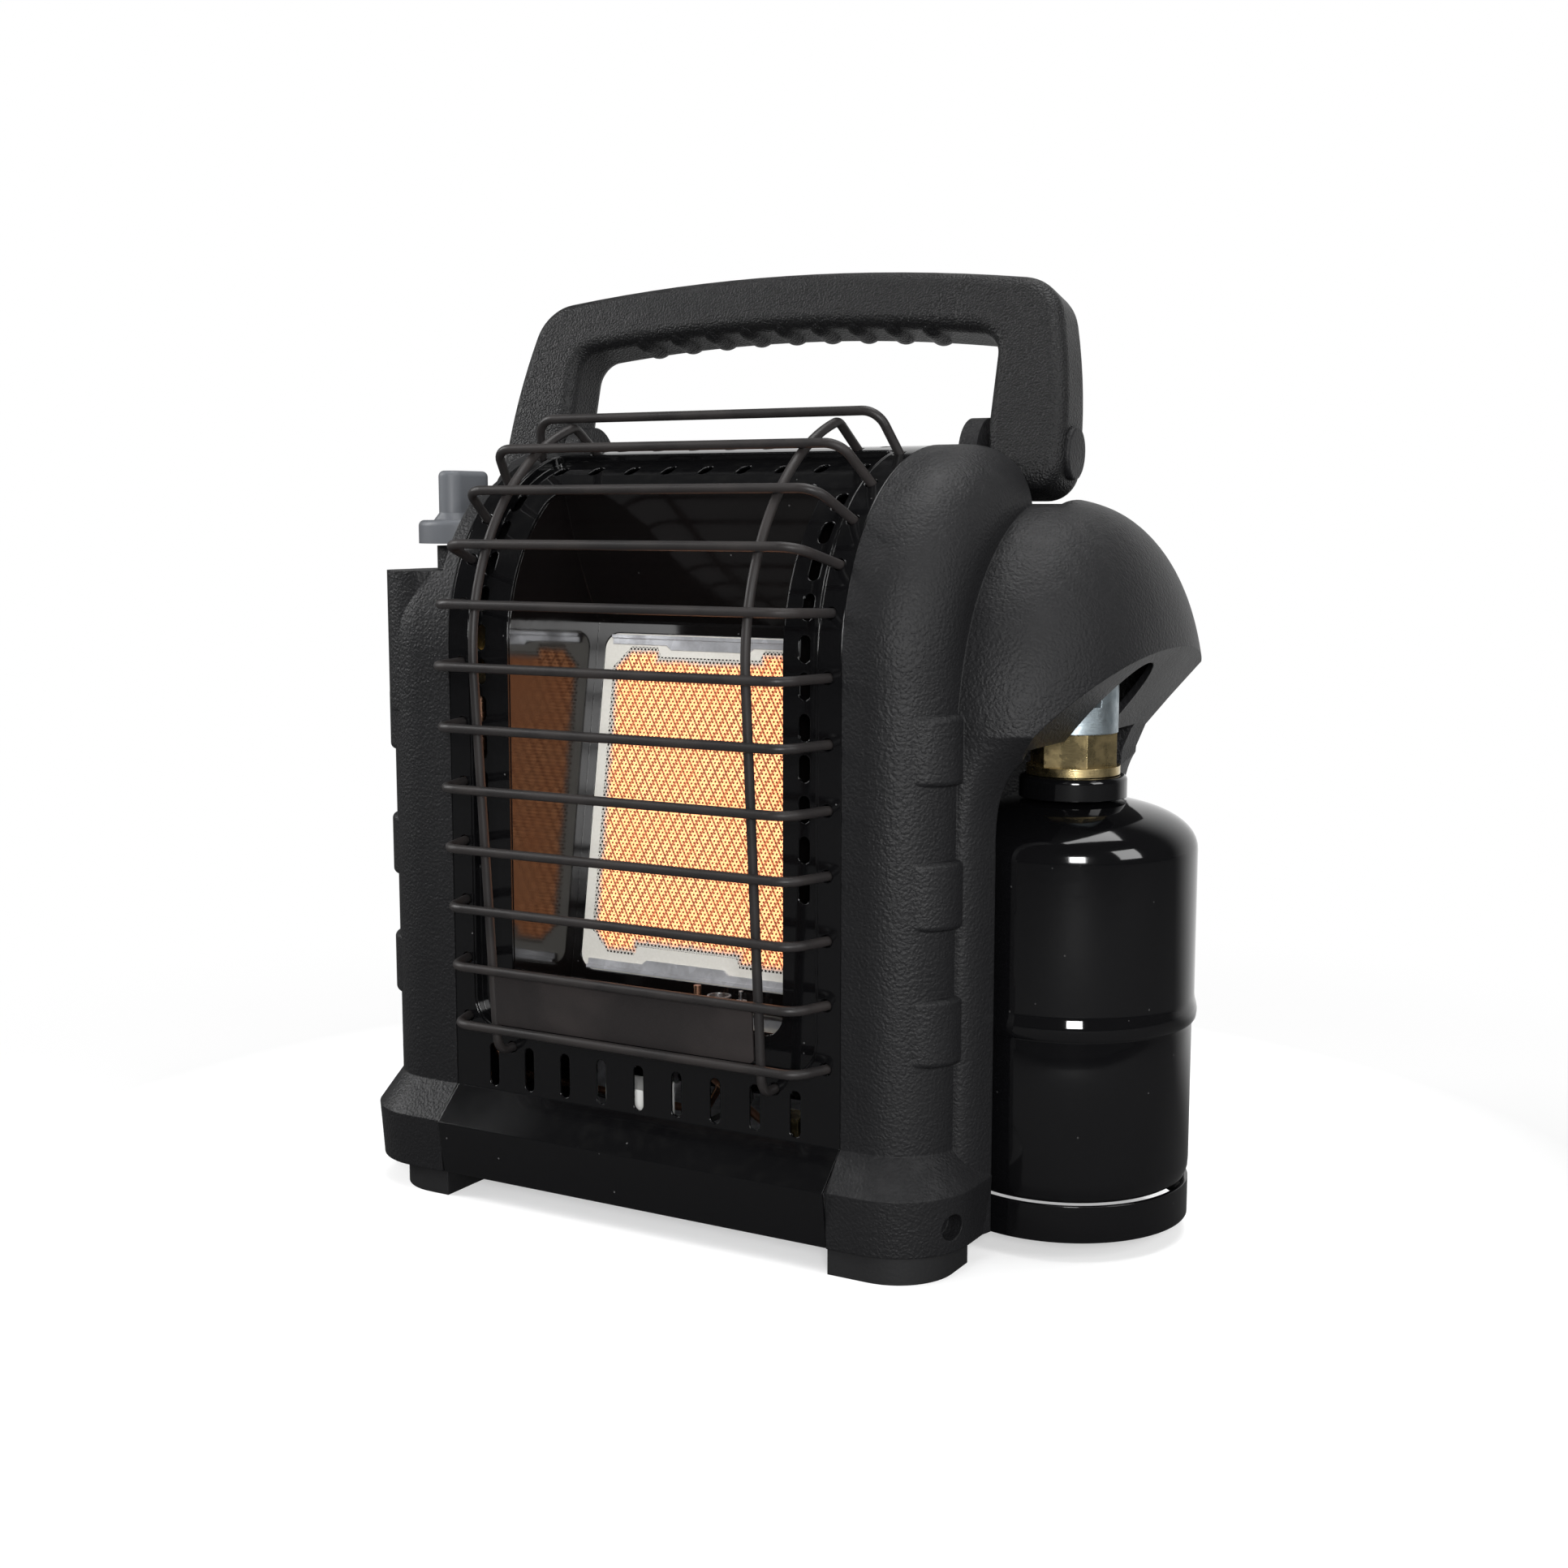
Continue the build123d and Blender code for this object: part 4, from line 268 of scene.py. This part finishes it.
class Finish:
    """A material on one Principled shader, with short ways to add the nodes that vary it."""

    def __init__(self, name, roughness=0.5, metallic=0.0, edge=0.0, **fixed):
        self.material = bpy.data.materials.new(name)
        self.material.use_nodes = True
        self.tree = self.material.node_tree
        self.shader = self.tree.nodes["Principled BSDF"]
        self.set("Roughness", roughness)
        self.set("Metallic", metallic)
        for socket, value in fixed.items():
            self.set(socket.replace("_", " ").title().replace("Ior", "IOR"), value)
        self.where = add_node(self.tree, "TexCoord").outputs["Object"]
        self.edge = None
        if edge:
            self.edge = add_node(self.tree, "Bevel", {"Radius": mm(edge)}, samples=6).outputs[0]
            self.tree.links.new(self.edge, self.shader.inputs["Normal"])

    def set(self, socket, value):
        """A fixed value on the shader."""
        self.shader.inputs[socket].default_value = value

    def add(self, kind, inputs=(), **settings):
        """A node of this material."""
        return add_node(self.tree, kind, inputs, **settings)

    def group(self, tree, **inputs):
        """A shared effect on this material; returns its masks and heights."""
        node = self.tree.nodes.new("ShaderNodeGroup")
        node.node_tree = tree
        self.tree.links.new(self.where, node.inputs["Vector"])
        for socket, value in inputs.items():
            node.inputs[socket.replace("_", " ").capitalize()].default_value = value
        return node.outputs

    def mix(self, share, first, second):
        """A colour between two, by a mask."""
        node = add_node(self.tree, "Mix", data_type="RGBA")
        for place_in, value in ((0, share), (6, first), (7, second)):
            socket = node.inputs[place_in]
            if isinstance(value, bpy.types.NodeSocket):
                self.tree.links.new(value, socket)
            else:
                socket.default_value = value if isinstance(value, float) else (*value, 1.0)
        return node.outputs[2]

    def colour(self, link):
        """Links the base colour."""
        self.tree.links.new(link, self.shader.inputs["Base Color"])

    def rough(self, mask, low, high):
        """Roughness between two values, by a mask."""
        level = add_range(self.tree, mask, 0.0, 1.0, low, high, smooth=False)
        self.tree.links.new(level, self.shader.inputs["Roughness"])

    def bump(self, height, depth):
        """Raises the surface by a height in millimetres."""
        node = add_node(self.tree, "Bump", {"Height": height, "Distance": mm(depth), "Strength": 1.0})
        if self.edge:
            self.tree.links.new(self.edge, node.inputs["Normal"])
        self.tree.links.new(node.outputs[0], self.shader.inputs["Normal"])


def enamel(name, dark, dull, edge, ior):
    """Gloss black paint on steel."""
    paint = Finish(name, edge=edge, ior=ior)
    traces = paint.group(HANDLING)
    settled = paint.mix(traces["Dust"], dark, dull)
    paint.colour(paint.mix(traces["Specks"], settled, (0.07, 0.07, 0.07)))
    paint.rough(traces["Smears"], 0.055, 0.13)
    paint.bump(paint.group(RIPPLE)["Height"], 0.018)
    return paint.material


def moulded(name, colour, worn, cells, depth, rough_low, rough_high, edge, warp=0.4):
    """Grained plastic that has been handled a little."""
    plastic = Finish(name, edge=edge, ior=1.4, specular_ior_level=0.32)
    grain = plastic.group(GRAIN, cells=cells, warp=warp)
    traces = plastic.group(HANDLING, smear_scale=9.0)
    toned = plastic.mix(grain["Patches"], colour, worn)
    dust = add_math(plastic.tree, "MULTIPLY", traces["Dust"], 0.06)
    plastic.colour(plastic.mix(dust, toned, (0.12, 0.12, 0.12)))
    plastic.rough(traces["Smears"], rough_low, rough_high)
    plastic.bump(grain["Height"], depth)
    return plastic.material


def bare(name, light, dark, crystals, rough_low, rough_high, edge, depth=0.01, metallic=1.0):
    """Unpainted metal with crystals, stains and drawn lines."""
    metal = Finish(name, metallic=metallic, edge=edge)
    looks = metal.group(BARE_METAL, crystals=crystals)
    toned = metal.mix(looks["Spangle"], light, [0.82 * v for v in light])
    metal.colour(metal.mix(add_math(metal.tree, "MULTIPLY", looks["Stains"], 0.6), toned, dark))
    metal.rough(looks["Stains"], rough_low, rough_high)
    metal.bump(looks["Scratches"], depth)
    return metal.material


def wire_paint():
    """Satin black paint on drawn wire, browned a little by heat over the burner."""
    paint = Finish("guard_wire_paint", ior=1.45, specular_ior_level=0.3)
    traces = paint.group(HANDLING, smear_scale=40.0)
    paint.colour(paint.mix(traces["Smears"], (0.013, 0.0118, 0.0118), (0.0175, 0.0148, 0.0142)))
    paint.rough(traces["Smears"], 0.42, 0.56)
    paint.bump(paint.group(GRAIN, cells=1500.0)["Height"], 0.02)
    return paint.material


def plate_paint():
    """Matt black on the guard's plate, heat-browned."""
    paint = Finish("guard_plate_paint", edge=0.4, ior=1.42, specular_ior_level=0.25)
    traces = paint.group(HANDLING, smear_scale=26.0)
    paint.colour(paint.mix(traces["Smears"], (0.013, 0.0112, 0.0112), (0.019, 0.0155, 0.015)))
    paint.rough(traces["Smears"], 0.5, 0.66)
    paint.bump(paint.group(GRAIN, cells=1300.0)["Height"], 0.03)
    return paint.material


def glowing_ceramic():
    """The burner: white porous ceramic, glowing where the gas burns, in raised diamonds."""
    ceramic = Finish("burner_ceramic", roughness=0.85, emission_strength=2.6)
    tree = ceramic.tree
    turn = tile_axes.transposed()
    local = ceramic.add("Mapping", {"Vector": ceramic.where, "Location": -(turn @ tile_foot),
                                    "Rotation": turn.to_euler()})
    parts = ceramic.add("SeparateXYZ", {0: local.outputs[0]})
    across, up, out = parts.outputs[0], parts.outputs[1], parts.outputs[2]

    column = add_math(tree, "DIVIDE", across, mm(DIAMOND_HOLES * HOLE_PITCH))
    row = add_math(tree, "DIVIDE", up, mm(DIAMOND_HOLES * HOLE_PITCH * math.sqrt(3)))
    seams = []
    for slant in ("ADD", "SUBTRACT"):
        share = add_math(tree, "FRACT", add_math(tree, slant, column, row))
        seams.append(add_math(tree, "ABSOLUTE", add_math(tree, "SUBTRACT", share, 0.5)))
    diamonds = add_range(tree, add_math(tree, "MINIMUM", *seams), *SEAM_HALF)
    sunk = add_range(tree, out, mm(SUNK_BELOW), mm(-FIELD_DROP))

    side = add_math(tree, "SUBTRACT", mm(FIELD_HALF), add_math(tree, "ABSOLUTE", across))
    ends = add_math(tree, "MINIMUM", add_math(tree, "SUBTRACT", up, mm(FIELD_LOW)),
                    add_math(tree, "SUBTRACT", mm(FIELD_HIGH), up))
    corner = add_math(tree, "SUBTRACT", add_math(tree, "ADD", side, ends), mm(FIELD_CORNER))
    off_middle = add_math(tree, "ABSOLUTE", add_math(tree, "SUBTRACT", across, mm(TONGUE_X)))
    beside = add_math(tree, "SUBTRACT", off_middle, mm(TONGUE_HALF))
    tongue = add_math(tree, "MAXIMUM", beside, add_math(tree, "SUBTRACT", ends, mm(TONGUE_STEP)))
    edge = add_math(tree, "MINIMUM", add_math(tree, "MINIMUM", side, ends),
                    add_math(tree, "MINIMUM", corner, tongue))
    flicker = ceramic.add("TexNoise", {"Vector": ceramic.where, "Scale": 70.0, "Detail": 4.0})
    ragged = add_math(tree, "MULTIPLY_ADD", flicker.outputs["Fac"], mm(FLICKER_REACH), edge)
    lit = add_range(tree, ragged, mm(UNLIT_RIM), mm(LIT_FROM))

    face = ceramic.mix(diamonds, (0.11, 0.024, 0.01), (1.0, 0.42, 0.18))
    hot = ceramic.mix(add_range(tree, flicker.outputs["Fac"], 0.3, 0.7), face, (0.8, 0.2, 0.06))
    blend = ceramic.mix(HOT_SHARE, face, hot)
    glow = ceramic.mix(sunk, (0.07, 0.016, 0.005), blend)
    tree.links.new(ceramic.mix(lit, (0.0, 0.0, 0.0), glow), ceramic.shader.inputs["Emission Color"])
    pores = ceramic.add("TexNoise", {"Vector": ceramic.where, "Scale": 900.0, "Detail": 4.0})
    cold = ceramic.mix(pores.outputs["Fac"], (0.66, 0.64, 0.58), (0.78, 0.76, 0.71))
    # Painted shade: below the field's face, down the blind holes, the ceramic's colour is darkened.
    shaded = ceramic.mix(sunk, (0.05, 0.04, 0.035), cold)
    ceramic.colour(ceramic.mix(lit, shaded, (0.12, 0.08, 0.05)))
    ceramic.bump(pores.outputs["Fac"], 0.05)
    return ceramic.material


def fibre():
    """Woven glass fibre."""
    cloth = Finish("gasket_fibre", roughness=0.95)
    weave = cloth.add("TexBrick", {"Vector": cloth.where, "Scale": 420.0, "Color1": (0.7, 0.68, 0.62, 1),
                                   "Color2": (0.6, 0.58, 0.52, 1), "Mortar": (0.35, 0.33, 0.3, 1)})
    cloth.colour(weave.outputs["Color"])
    cloth.bump(weave.outputs["Fac"], 0.1)
    return cloth.material


def cylinder_paint():
    """Deep gloss black on the fuel cylinder, with fine scuffs."""
    paint = Finish("cylinder_gloss", edge=0.5, ior=1.5)
    traces = paint.group(HANDLING, smear_scale=14.0)
    paint.colour(paint.mix(traces["Specks"], (0.0022, 0.0022, 0.0025), (0.03, 0.03, 0.03)))
    paint.rough(traces["Smears"], 0.045, 0.11)
    paint.bump(paint.group(RIPPLE)["Height"], 0.01)
    return paint.material


PAINTS = {
    "black_enamel": enamel("casing_enamel", (0.0025, 0.0025, 0.0028), (0.005, 0.005, 0.005),
                           0.8, 1.44),
    "chamber_enamel": enamel("chamber_enamel", (0.003, 0.0025, 0.0025), (0.006, 0.0045, 0.004),
                             0.5, 1.5),
    "housing_plastic": moulded("housing_plastic", (0.0052, 0.0052, 0.0058), (0.0075, 0.0075, 0.0082),
                               900.0, 0.3, 0.46, 0.56, 0.8, warp=1.6),
    "handle_plastic": moulded("handle_plastic", (0.0038, 0.0038, 0.0042), (0.0058, 0.0058, 0.0062),
                              1250.0, 0.5, 0.4, 0.5, 0.5),
    "knob_plastic": moulded("knob_plastic", (0.082, 0.087, 0.095), (0.093, 0.098, 0.107),
                            1400.0, 0.03, 0.4, 0.5, 0.7),
    "rubber": moulded("foot_rubber", (0.007, 0.007, 0.0075), (0.01, 0.01, 0.0105),
                      800.0, 0.06, 0.6, 0.75, 0.6),
    "white_plastic": moulded("switch_plastic", (0.78, 0.78, 0.76), (0.72, 0.72, 0.7),
                             1200.0, 0.02, 0.35, 0.5, 0.5),
    "lead_jacket": moulded("lead_jacket", (0.03, 0.03, 0.03), (0.04, 0.04, 0.04),
                           1500.0, 0.02, 0.4, 0.55, 0.0),
    "galvanised": bare("galvanised_sheet", (0.62, 0.63, 0.66), (0.36, 0.36, 0.38), 230.0, 0.32, 0.5, 0.3,
                       metallic=0.45),
    "steel": bare("plated_steel", (0.56, 0.56, 0.57), (0.38, 0.37, 0.35), 500.0, 0.24, 0.38, 0.2),
    "zinc": bare("cast_zinc", (0.4, 0.46, 0.49), (0.15, 0.185, 0.21), 170.0, 0.34, 0.55, 0.6, 0.05),
    "brass": bare("tarnished_brass", (0.6, 0.48, 0.25), (0.36, 0.27, 0.13),
                  1100.0, 0.22, 0.42, 0.4, 0.04),
    "copper_tube": bare("copper_tube", (0.62, 0.34, 0.22), (0.3, 0.16, 0.1), 300.0, 0.22, 0.4, 0.0),
    "guard_wire": wire_paint(),
    "ceramic": glowing_ceramic(),
    "gasket": fibre(),
    "cylinder_paint": cylinder_paint(),
}
PLATE_PAINT = plate_paint()


def paint(piece, material):
    """Gives a piece one material all over."""
    piece.data.materials.clear()
    piece.data.materials.append(material)


for part in frame["record"]["subparts"]:
    paint(frame["nodes"][part["node"]], PAINTS[part["material_slot"]])
paint(frame["nodes"]["guard_plate"], PLATE_PAINT)


# ---------------------------------------------------------------- modelling helpers


def add_object(name, shape):
    """Turns a bmesh into a named object at the origin."""
    mesh = bpy.data.meshes.new(name)
    shape.to_mesh(mesh)
    shape.free()
    made = bpy.data.objects.new(name, mesh)
    bpy.context.scene.collection.objects.link(made)
    return made


def add_piece(name, shape, body, slot, node):
    """Turns a bmesh into a piece that rides on a body in place of a CAD node."""
    piece = add_object(name, shape)
    paint(piece, PAINTS[slot])
    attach(piece, body)
    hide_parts(node)
    return piece


def add_loop(shape, points):
    """Adds a closed loop of edges through points and returns its edges."""
    corners = [shape.verts.new(p) for p in points]
    return [shape.edges.new((a, b)) for a, b in zip(corners, corners[1:] + corners[:1])]


def rounded_corners(half_width, low, high, radius, steps=6):
    """Points of an upright rectangle with rounded corners, middle on x = 0."""
    inner, top, foot = half_width - radius, high - radius, low + radius
    points = []
    for quarter, (x, y) in enumerate(((inner, top), (-inner, top), (-inner, foot), (inner, foot))):
        for i in range(steps + 1):
            turn = math.radians(90) * (quarter + i / steps)
            points.append(mm(x + radius * math.cos(turn), y + radius * math.sin(turn), 0))
    return points


def repeat(shape, count, step):
    """Repeats everything in a shape by doubling, until it stands count times in a row."""
    done = 1
    while done < count:
        source = shape.verts[:] + shape.edges[:] + shape.faces[:]
        if 2 * done > count:
            source = [v for v in shape.verts if v[repeat_order(shape)] < count - done]
            faces = {f for v in source for f in v.link_faces}
            source = source + list({e for f in faces for e in f.edges}) + list(faces)
        made = bmesh.ops.duplicate(shape, geom=source)["geom"]
        fresh = [g for g in made if isinstance(g, bmesh.types.BMVert)]
        for v in fresh:
            v[repeat_order(shape)] += done
        bmesh.ops.translate(shape, verts=fresh, vec=step * done)
        done = min(2 * done, count)


def repeat_order(shape):
    """The layer that counts which copy a vertex belongs to."""
    return shape.verts.layers.int.get("copy") or shape.verts.layers.int.new("copy")


def start_over(shape):
    """Counts copies from nought again, for a repeat in another direction."""
    for v in shape.verts:
        v[repeat_order(shape)] = 0


def lathe(profile, axis):
    """A closed shape turned round an upright axis from (radius, height) points in millimetres."""
    shape = bmesh.new()
    points = [shape.verts.new(axis + mm(r, 0, z)) for r, z in profile]
    edges = [shape.edges.new(pair) for pair in zip(points, points[1:])]
    bmesh.ops.spin(shape, geom=points + edges, cent=axis, axis=(0, 0, 1), angle=2 * math.pi,
                   steps=LATHE_STEPS, use_merge=True)
    bmesh.ops.remove_doubles(shape, verts=shape.verts, dist=mm(MERGE_DISTANCE))
    return shape


# ---------------------------------------------------------------- burner tile


def drilled_field():
    """The drilled face: one hexagon with a blind hole, repeated in staggered rows."""
    shape = bmesh.new()
    cell = HOLE_PITCH / math.sqrt(3)
    point_up = Matrix.Rotation(math.radians(30), 4, "Z")
    bmesh.ops.create_circle(shape, cap_ends=False, segments=6, radius=mm(cell), matrix=point_up)
    hole = bmesh.ops.create_circle(shape, cap_ends=False, segments=6, radius=mm(HOLE_RADIUS),
                                   matrix=point_up)["verts"]
    hole_edges = [e for e in shape.edges if e.verts[0] in hole]
    bmesh.ops.bridge_loops(shape, edges=shape.edges[:])
    walls = bmesh.ops.extrude_edge_only(shape, edges=hole_edges)["geom"]
    floor = [g for g in walls if isinstance(g, bmesh.types.BMVert)]
    bmesh.ops.translate(shape, verts=floor, vec=mm(0, 0, -HOLE_DEPTH))
    bmesh.ops.contextual_create(shape, geom=floor)
    repeat_order(shape)
    rows = int((FIELD_HIGH - FIELD_LOW) / (HOLE_PITCH * math.sqrt(3) / 2)) + 2
    columns = int(2 * FIELD_HALF / HOLE_PITCH) + 2
    repeat(shape, columns, mm(HOLE_PITCH, 0, 0))
    start_over(shape)
    repeat(shape, 2, mm(HOLE_PITCH / 2, HOLE_PITCH * math.sqrt(3) / 2, 0))
    start_over(shape)
    repeat(shape, rows // 2, mm(0, HOLE_PITCH * math.sqrt(3), 0))
    start = mm(-HOLE_PITCH * columns / 2 + HOLE_PITCH / 4, FIELD_LOW - FIELD_UNDERLAP, -FIELD_DROP)
    bmesh.ops.translate(shape, verts=shape.verts, vec=start)
    bmesh.ops.remove_doubles(shape, verts=shape.verts, dist=mm(MERGE_DISTANCE))
    return shape


def field_outline():
    """The drilled field's edge: cut corners, and steps back from the brackets' tongues."""
    half, cut, low, high, slope = FIELD_HALF, FIELD_CORNER, FIELD_LOW, FIELD_HIGH, TONGUE_SLOPE
    left, right = TONGUE_X - TONGUE_HALF, TONGUE_X + TONGUE_HALF
    top = [(half, high - cut), (half - cut, high), (right + slope, high), (right, high - TONGUE_STEP),
           (left, high - TONGUE_STEP), (left - slope, high), (cut - half, high), (-half, high - cut)]
    foot = [(-half, low + cut), (cut - half, low), (left - slope, low), (left, low + TONGUE_STEP),
            (right, low + TONGUE_STEP), (right + slope, low), (half - cut, low), (half, low + cut)]
    return [mm(x, y, 0) for x, y in top + foot]


def burner_face():
    """The burner tile: a block with a plain border round its drilled, glowing field."""
    shape = bmesh.new()
    outer = add_loop(shape, rounded_corners(TILE_HALF, 0, TILE_HEIGHT, TILE_CORNER))
    inner = add_loop(shape, field_outline())
    bmesh.ops.triangle_fill(shape, use_beauty=True, edges=outer + inner)
    back = bmesh.ops.extrude_face_region(shape, geom=shape.faces[:])["geom"]
    bmesh.ops.translate(shape, verts=[g for g in back if isinstance(g, bmesh.types.BMVert)],
                        vec=mm(0, 0, -TILE_THICKNESS))
    bmesh.ops.recalc_face_normals(shape, faces=shape.faces)
    field = drilled_field()
    drilled = bpy.data.meshes.new("drilled")
    field.to_mesh(drilled)
    field.free()
    shape.from_mesh(drilled)
    bpy.data.meshes.remove(drilled)
    bmesh.ops.transform(shape, matrix=TILE_PLACE, verts=shape.verts)
    add_piece("burner_face", shape, "heater", "ceramic", "burner_tile")


burner_face()


# ---------------------------------------------------------------- fuel cylinder


def cylinder_body():
    """The pressed cylinder: a drawn upper half that laps over the lower at the girth seam."""
    r, lip, low = CYLINDER_RADIUS * 1000, CYLINDER_GIRTH_Z, CYLINDER_LOW_Z
    wall, lower, spring = r - UPPER_INSET, r - LOWER_INSET, CYLINDER_SHOULDER_Z - 1
    base = [(0, low - 8), (20, low - 7), (38, low - 2), (45.5, low + 0.4), (47.6, low + 1.8),
            (lower - 0.2, low + 5), (lower, low + 8)]
    seam = [(lower, lip - 6), (lower - 0.4, lip - 4.6), (lower - 0.4, lip - 3.9), (r - 0.9, lip - 3.6),
            (r - 0.3, lip - 2.6), (r, lip - 0.6), (r, lip + 0.8), (r - 0.3, lip + 2.6),
            (r - 0.8, lip + 4.2), (wall, lip + 6.4)]
    profile = base + seam + [(wall, spring)]
    for i in range(1, SHOULDER_STEPS):
        turn = math.radians(90) * i / SHOULDER_STEPS
        profile.append((wall * math.cos(turn) ** 0.82,
                        spring + (CYLINDER_NECK_Z - spring) * math.sin(turn) ** 0.95))
    neck_top = shell_high.z * 1000
    profile += [(CYLINDER_NECK_RADIUS, CYLINDER_NECK_Z), (CYLINDER_NECK_RADIUS, neck_top), (0, neck_top)]
    shape = lathe(profile, CYLINDER_AXIS)
    bmesh.ops.recalc_face_normals(shape, faces=shape.faces)
    piece = add_piece("cylinder_body", shape, "cylinder", "cylinder_paint", "cylinder_shell")
    piece.data.shade_smooth()
    piece.data.set_sharp_from_angle(angle=math.radians(CYLINDER_SMOOTH_BELOW))


cylinder_body()


# ---------------------------------------------------------------- floor, light and camera


def make_floor():
    """A wide pale floor that runs out into the white of the background."""
    shape = bmesh.new()
    bmesh.ops.create_grid(shape, x_segments=8, y_segments=8, size=FLOOR_HALF)
    floor = add_object("floor", shape)
    pale = Finish("floor_pale", roughness=1.0, emission_strength=1.0)
    pale.set("Specular IOR Level", 0.0)
    tree = pale.tree
    mottle = pale.add("TexNoise", {"Vector": pale.where, "Scale": 3.0, "Detail": 3.0})
    base = pale.mix(mottle.outputs["Fac"], (0.6, 0.6, 0.6), (0.63, 0.63, 0.63))
    away = pale.add("VectorMath", {0: pale.where}, operation="LENGTH").outputs["Value"]
    rear = add_math(tree, "DIVIDE", pale.add("SeparateXYZ", {0: pale.where}).outputs[1], away)
    seen = pale.add("LightPath")
    camera_ray = seen.outputs["Is Camera Ray"]
    mirrored = add_math(tree, "MULTIPLY", add_range(tree, rear, *REAR_FADE), mirrored_rays(tree, seen))
    shown = add_math(tree, "MAXIMUM", camera_ray, mirrored)
    far = add_math(tree, "MULTIPLY", add_range(tree, away, *FLOOR_FADE), shown)
    lift = add_math(tree, "MAXIMUM", far, add_math(tree, "MULTIPLY", camera_ray, FLOOR_LIFT))
    base = pale.mix(seen.outputs["Is Glossy Ray"], base, [FLOOR_GLOSS_TONE] * 3)
    pale.colour(pale.mix(far, base, (0.0, 0.0, 0.0)))
    shine = pale.mix(lift, (0.0, 0.0, 0.0), (1.0, 1.0, 1.0))
    tree.links.new(shine, pale.shader.inputs["Emission Color"])
    floor.data.materials.append(pale.material)


def soft_box(name, stand, aim, width, height, power):
    """A rectangular studio light that faces a point."""
    data = bpy.data.lights.new(name, "AREA")
    data.shape = "RECTANGLE"
    data.size, data.size_y, data.energy = width, height, power
    lamp = bpy.data.objects.new(name, data)
    lamp.location = stand
    lamp.rotation_euler = (Vector(aim) - Vector(stand)).to_track_quat("-Z", "Y").to_euler()
    bpy.context.scene.collection.objects.link(lamp)


def make_world():
    """Soft room light, with a white background for the eye, for gloss and for glass."""
    world = bpy.data.worlds.new("studio")
    bpy.context.scene.world = world
    world.use_nodes = True
    tree = world.node_tree
    back = tree.nodes["Background"]
    seen = add_node(tree, "LightPath")
    where = add_node(tree, "TexCoord").outputs["Generated"]
    parts = add_node(tree, "SeparateXYZ", {0: where})
    behind = add_range(tree, parts.outputs[1], *REAR_FADE, ROOM_DARK, 1.0)
    room = add_node(tree, "Mix", {0: mirrored_rays(tree, seen), 2: ROOM_LIGHT, 3: behind},
                    data_type="FLOAT").outputs[0]
    level = add_math(tree, "MAXIMUM", seen.outputs["Is Camera Ray"], room)
    tree.links.new(level, back.inputs["Strength"])
    back.inputs["Color"].default_value = (1, 1, 1, 1)


def make_camera():
    """The camera, a little above the heater and to its right front."""
    azimuth, dip = math.radians(29.926), math.radians(7.493)
    data = bpy.data.cameras.new("camera")
    data.lens, data.sensor_width = 46.957, 36.0
    data.clip_start, data.clip_end = 0.05, 40.0
    camera = bpy.data.objects.new("camera", data)
    camera.location = place(451.32, -651.83, 287.13)
    camera.rotation_euler = Euler((math.radians(90) - dip, 0, azimuth))
    bpy.context.scene.collection.objects.link(camera)
    bpy.context.scene.camera = camera


make_floor()
make_world()
make_camera()
soft_box("left_box", (-1.9, -0.7, 1.2), (0, 0, 0.2), 0.7, 1.2, 38)
soft_box("right_box", (1.75, -0.35, 0.95), (0.05, 0, 0.2), 0.7, 1.0, 15)
soft_box("top_box", (0.1, 0.15, 1.7), (0, 0, 0.2), 1.1, 1.1, 22)
soft_box("front_box", (0.95, -1.6, 0.6), (0, 0, 0.17), 0.45, 0.6, 34)
bpy.context.scene.view_settings.view_transform = "Standard"
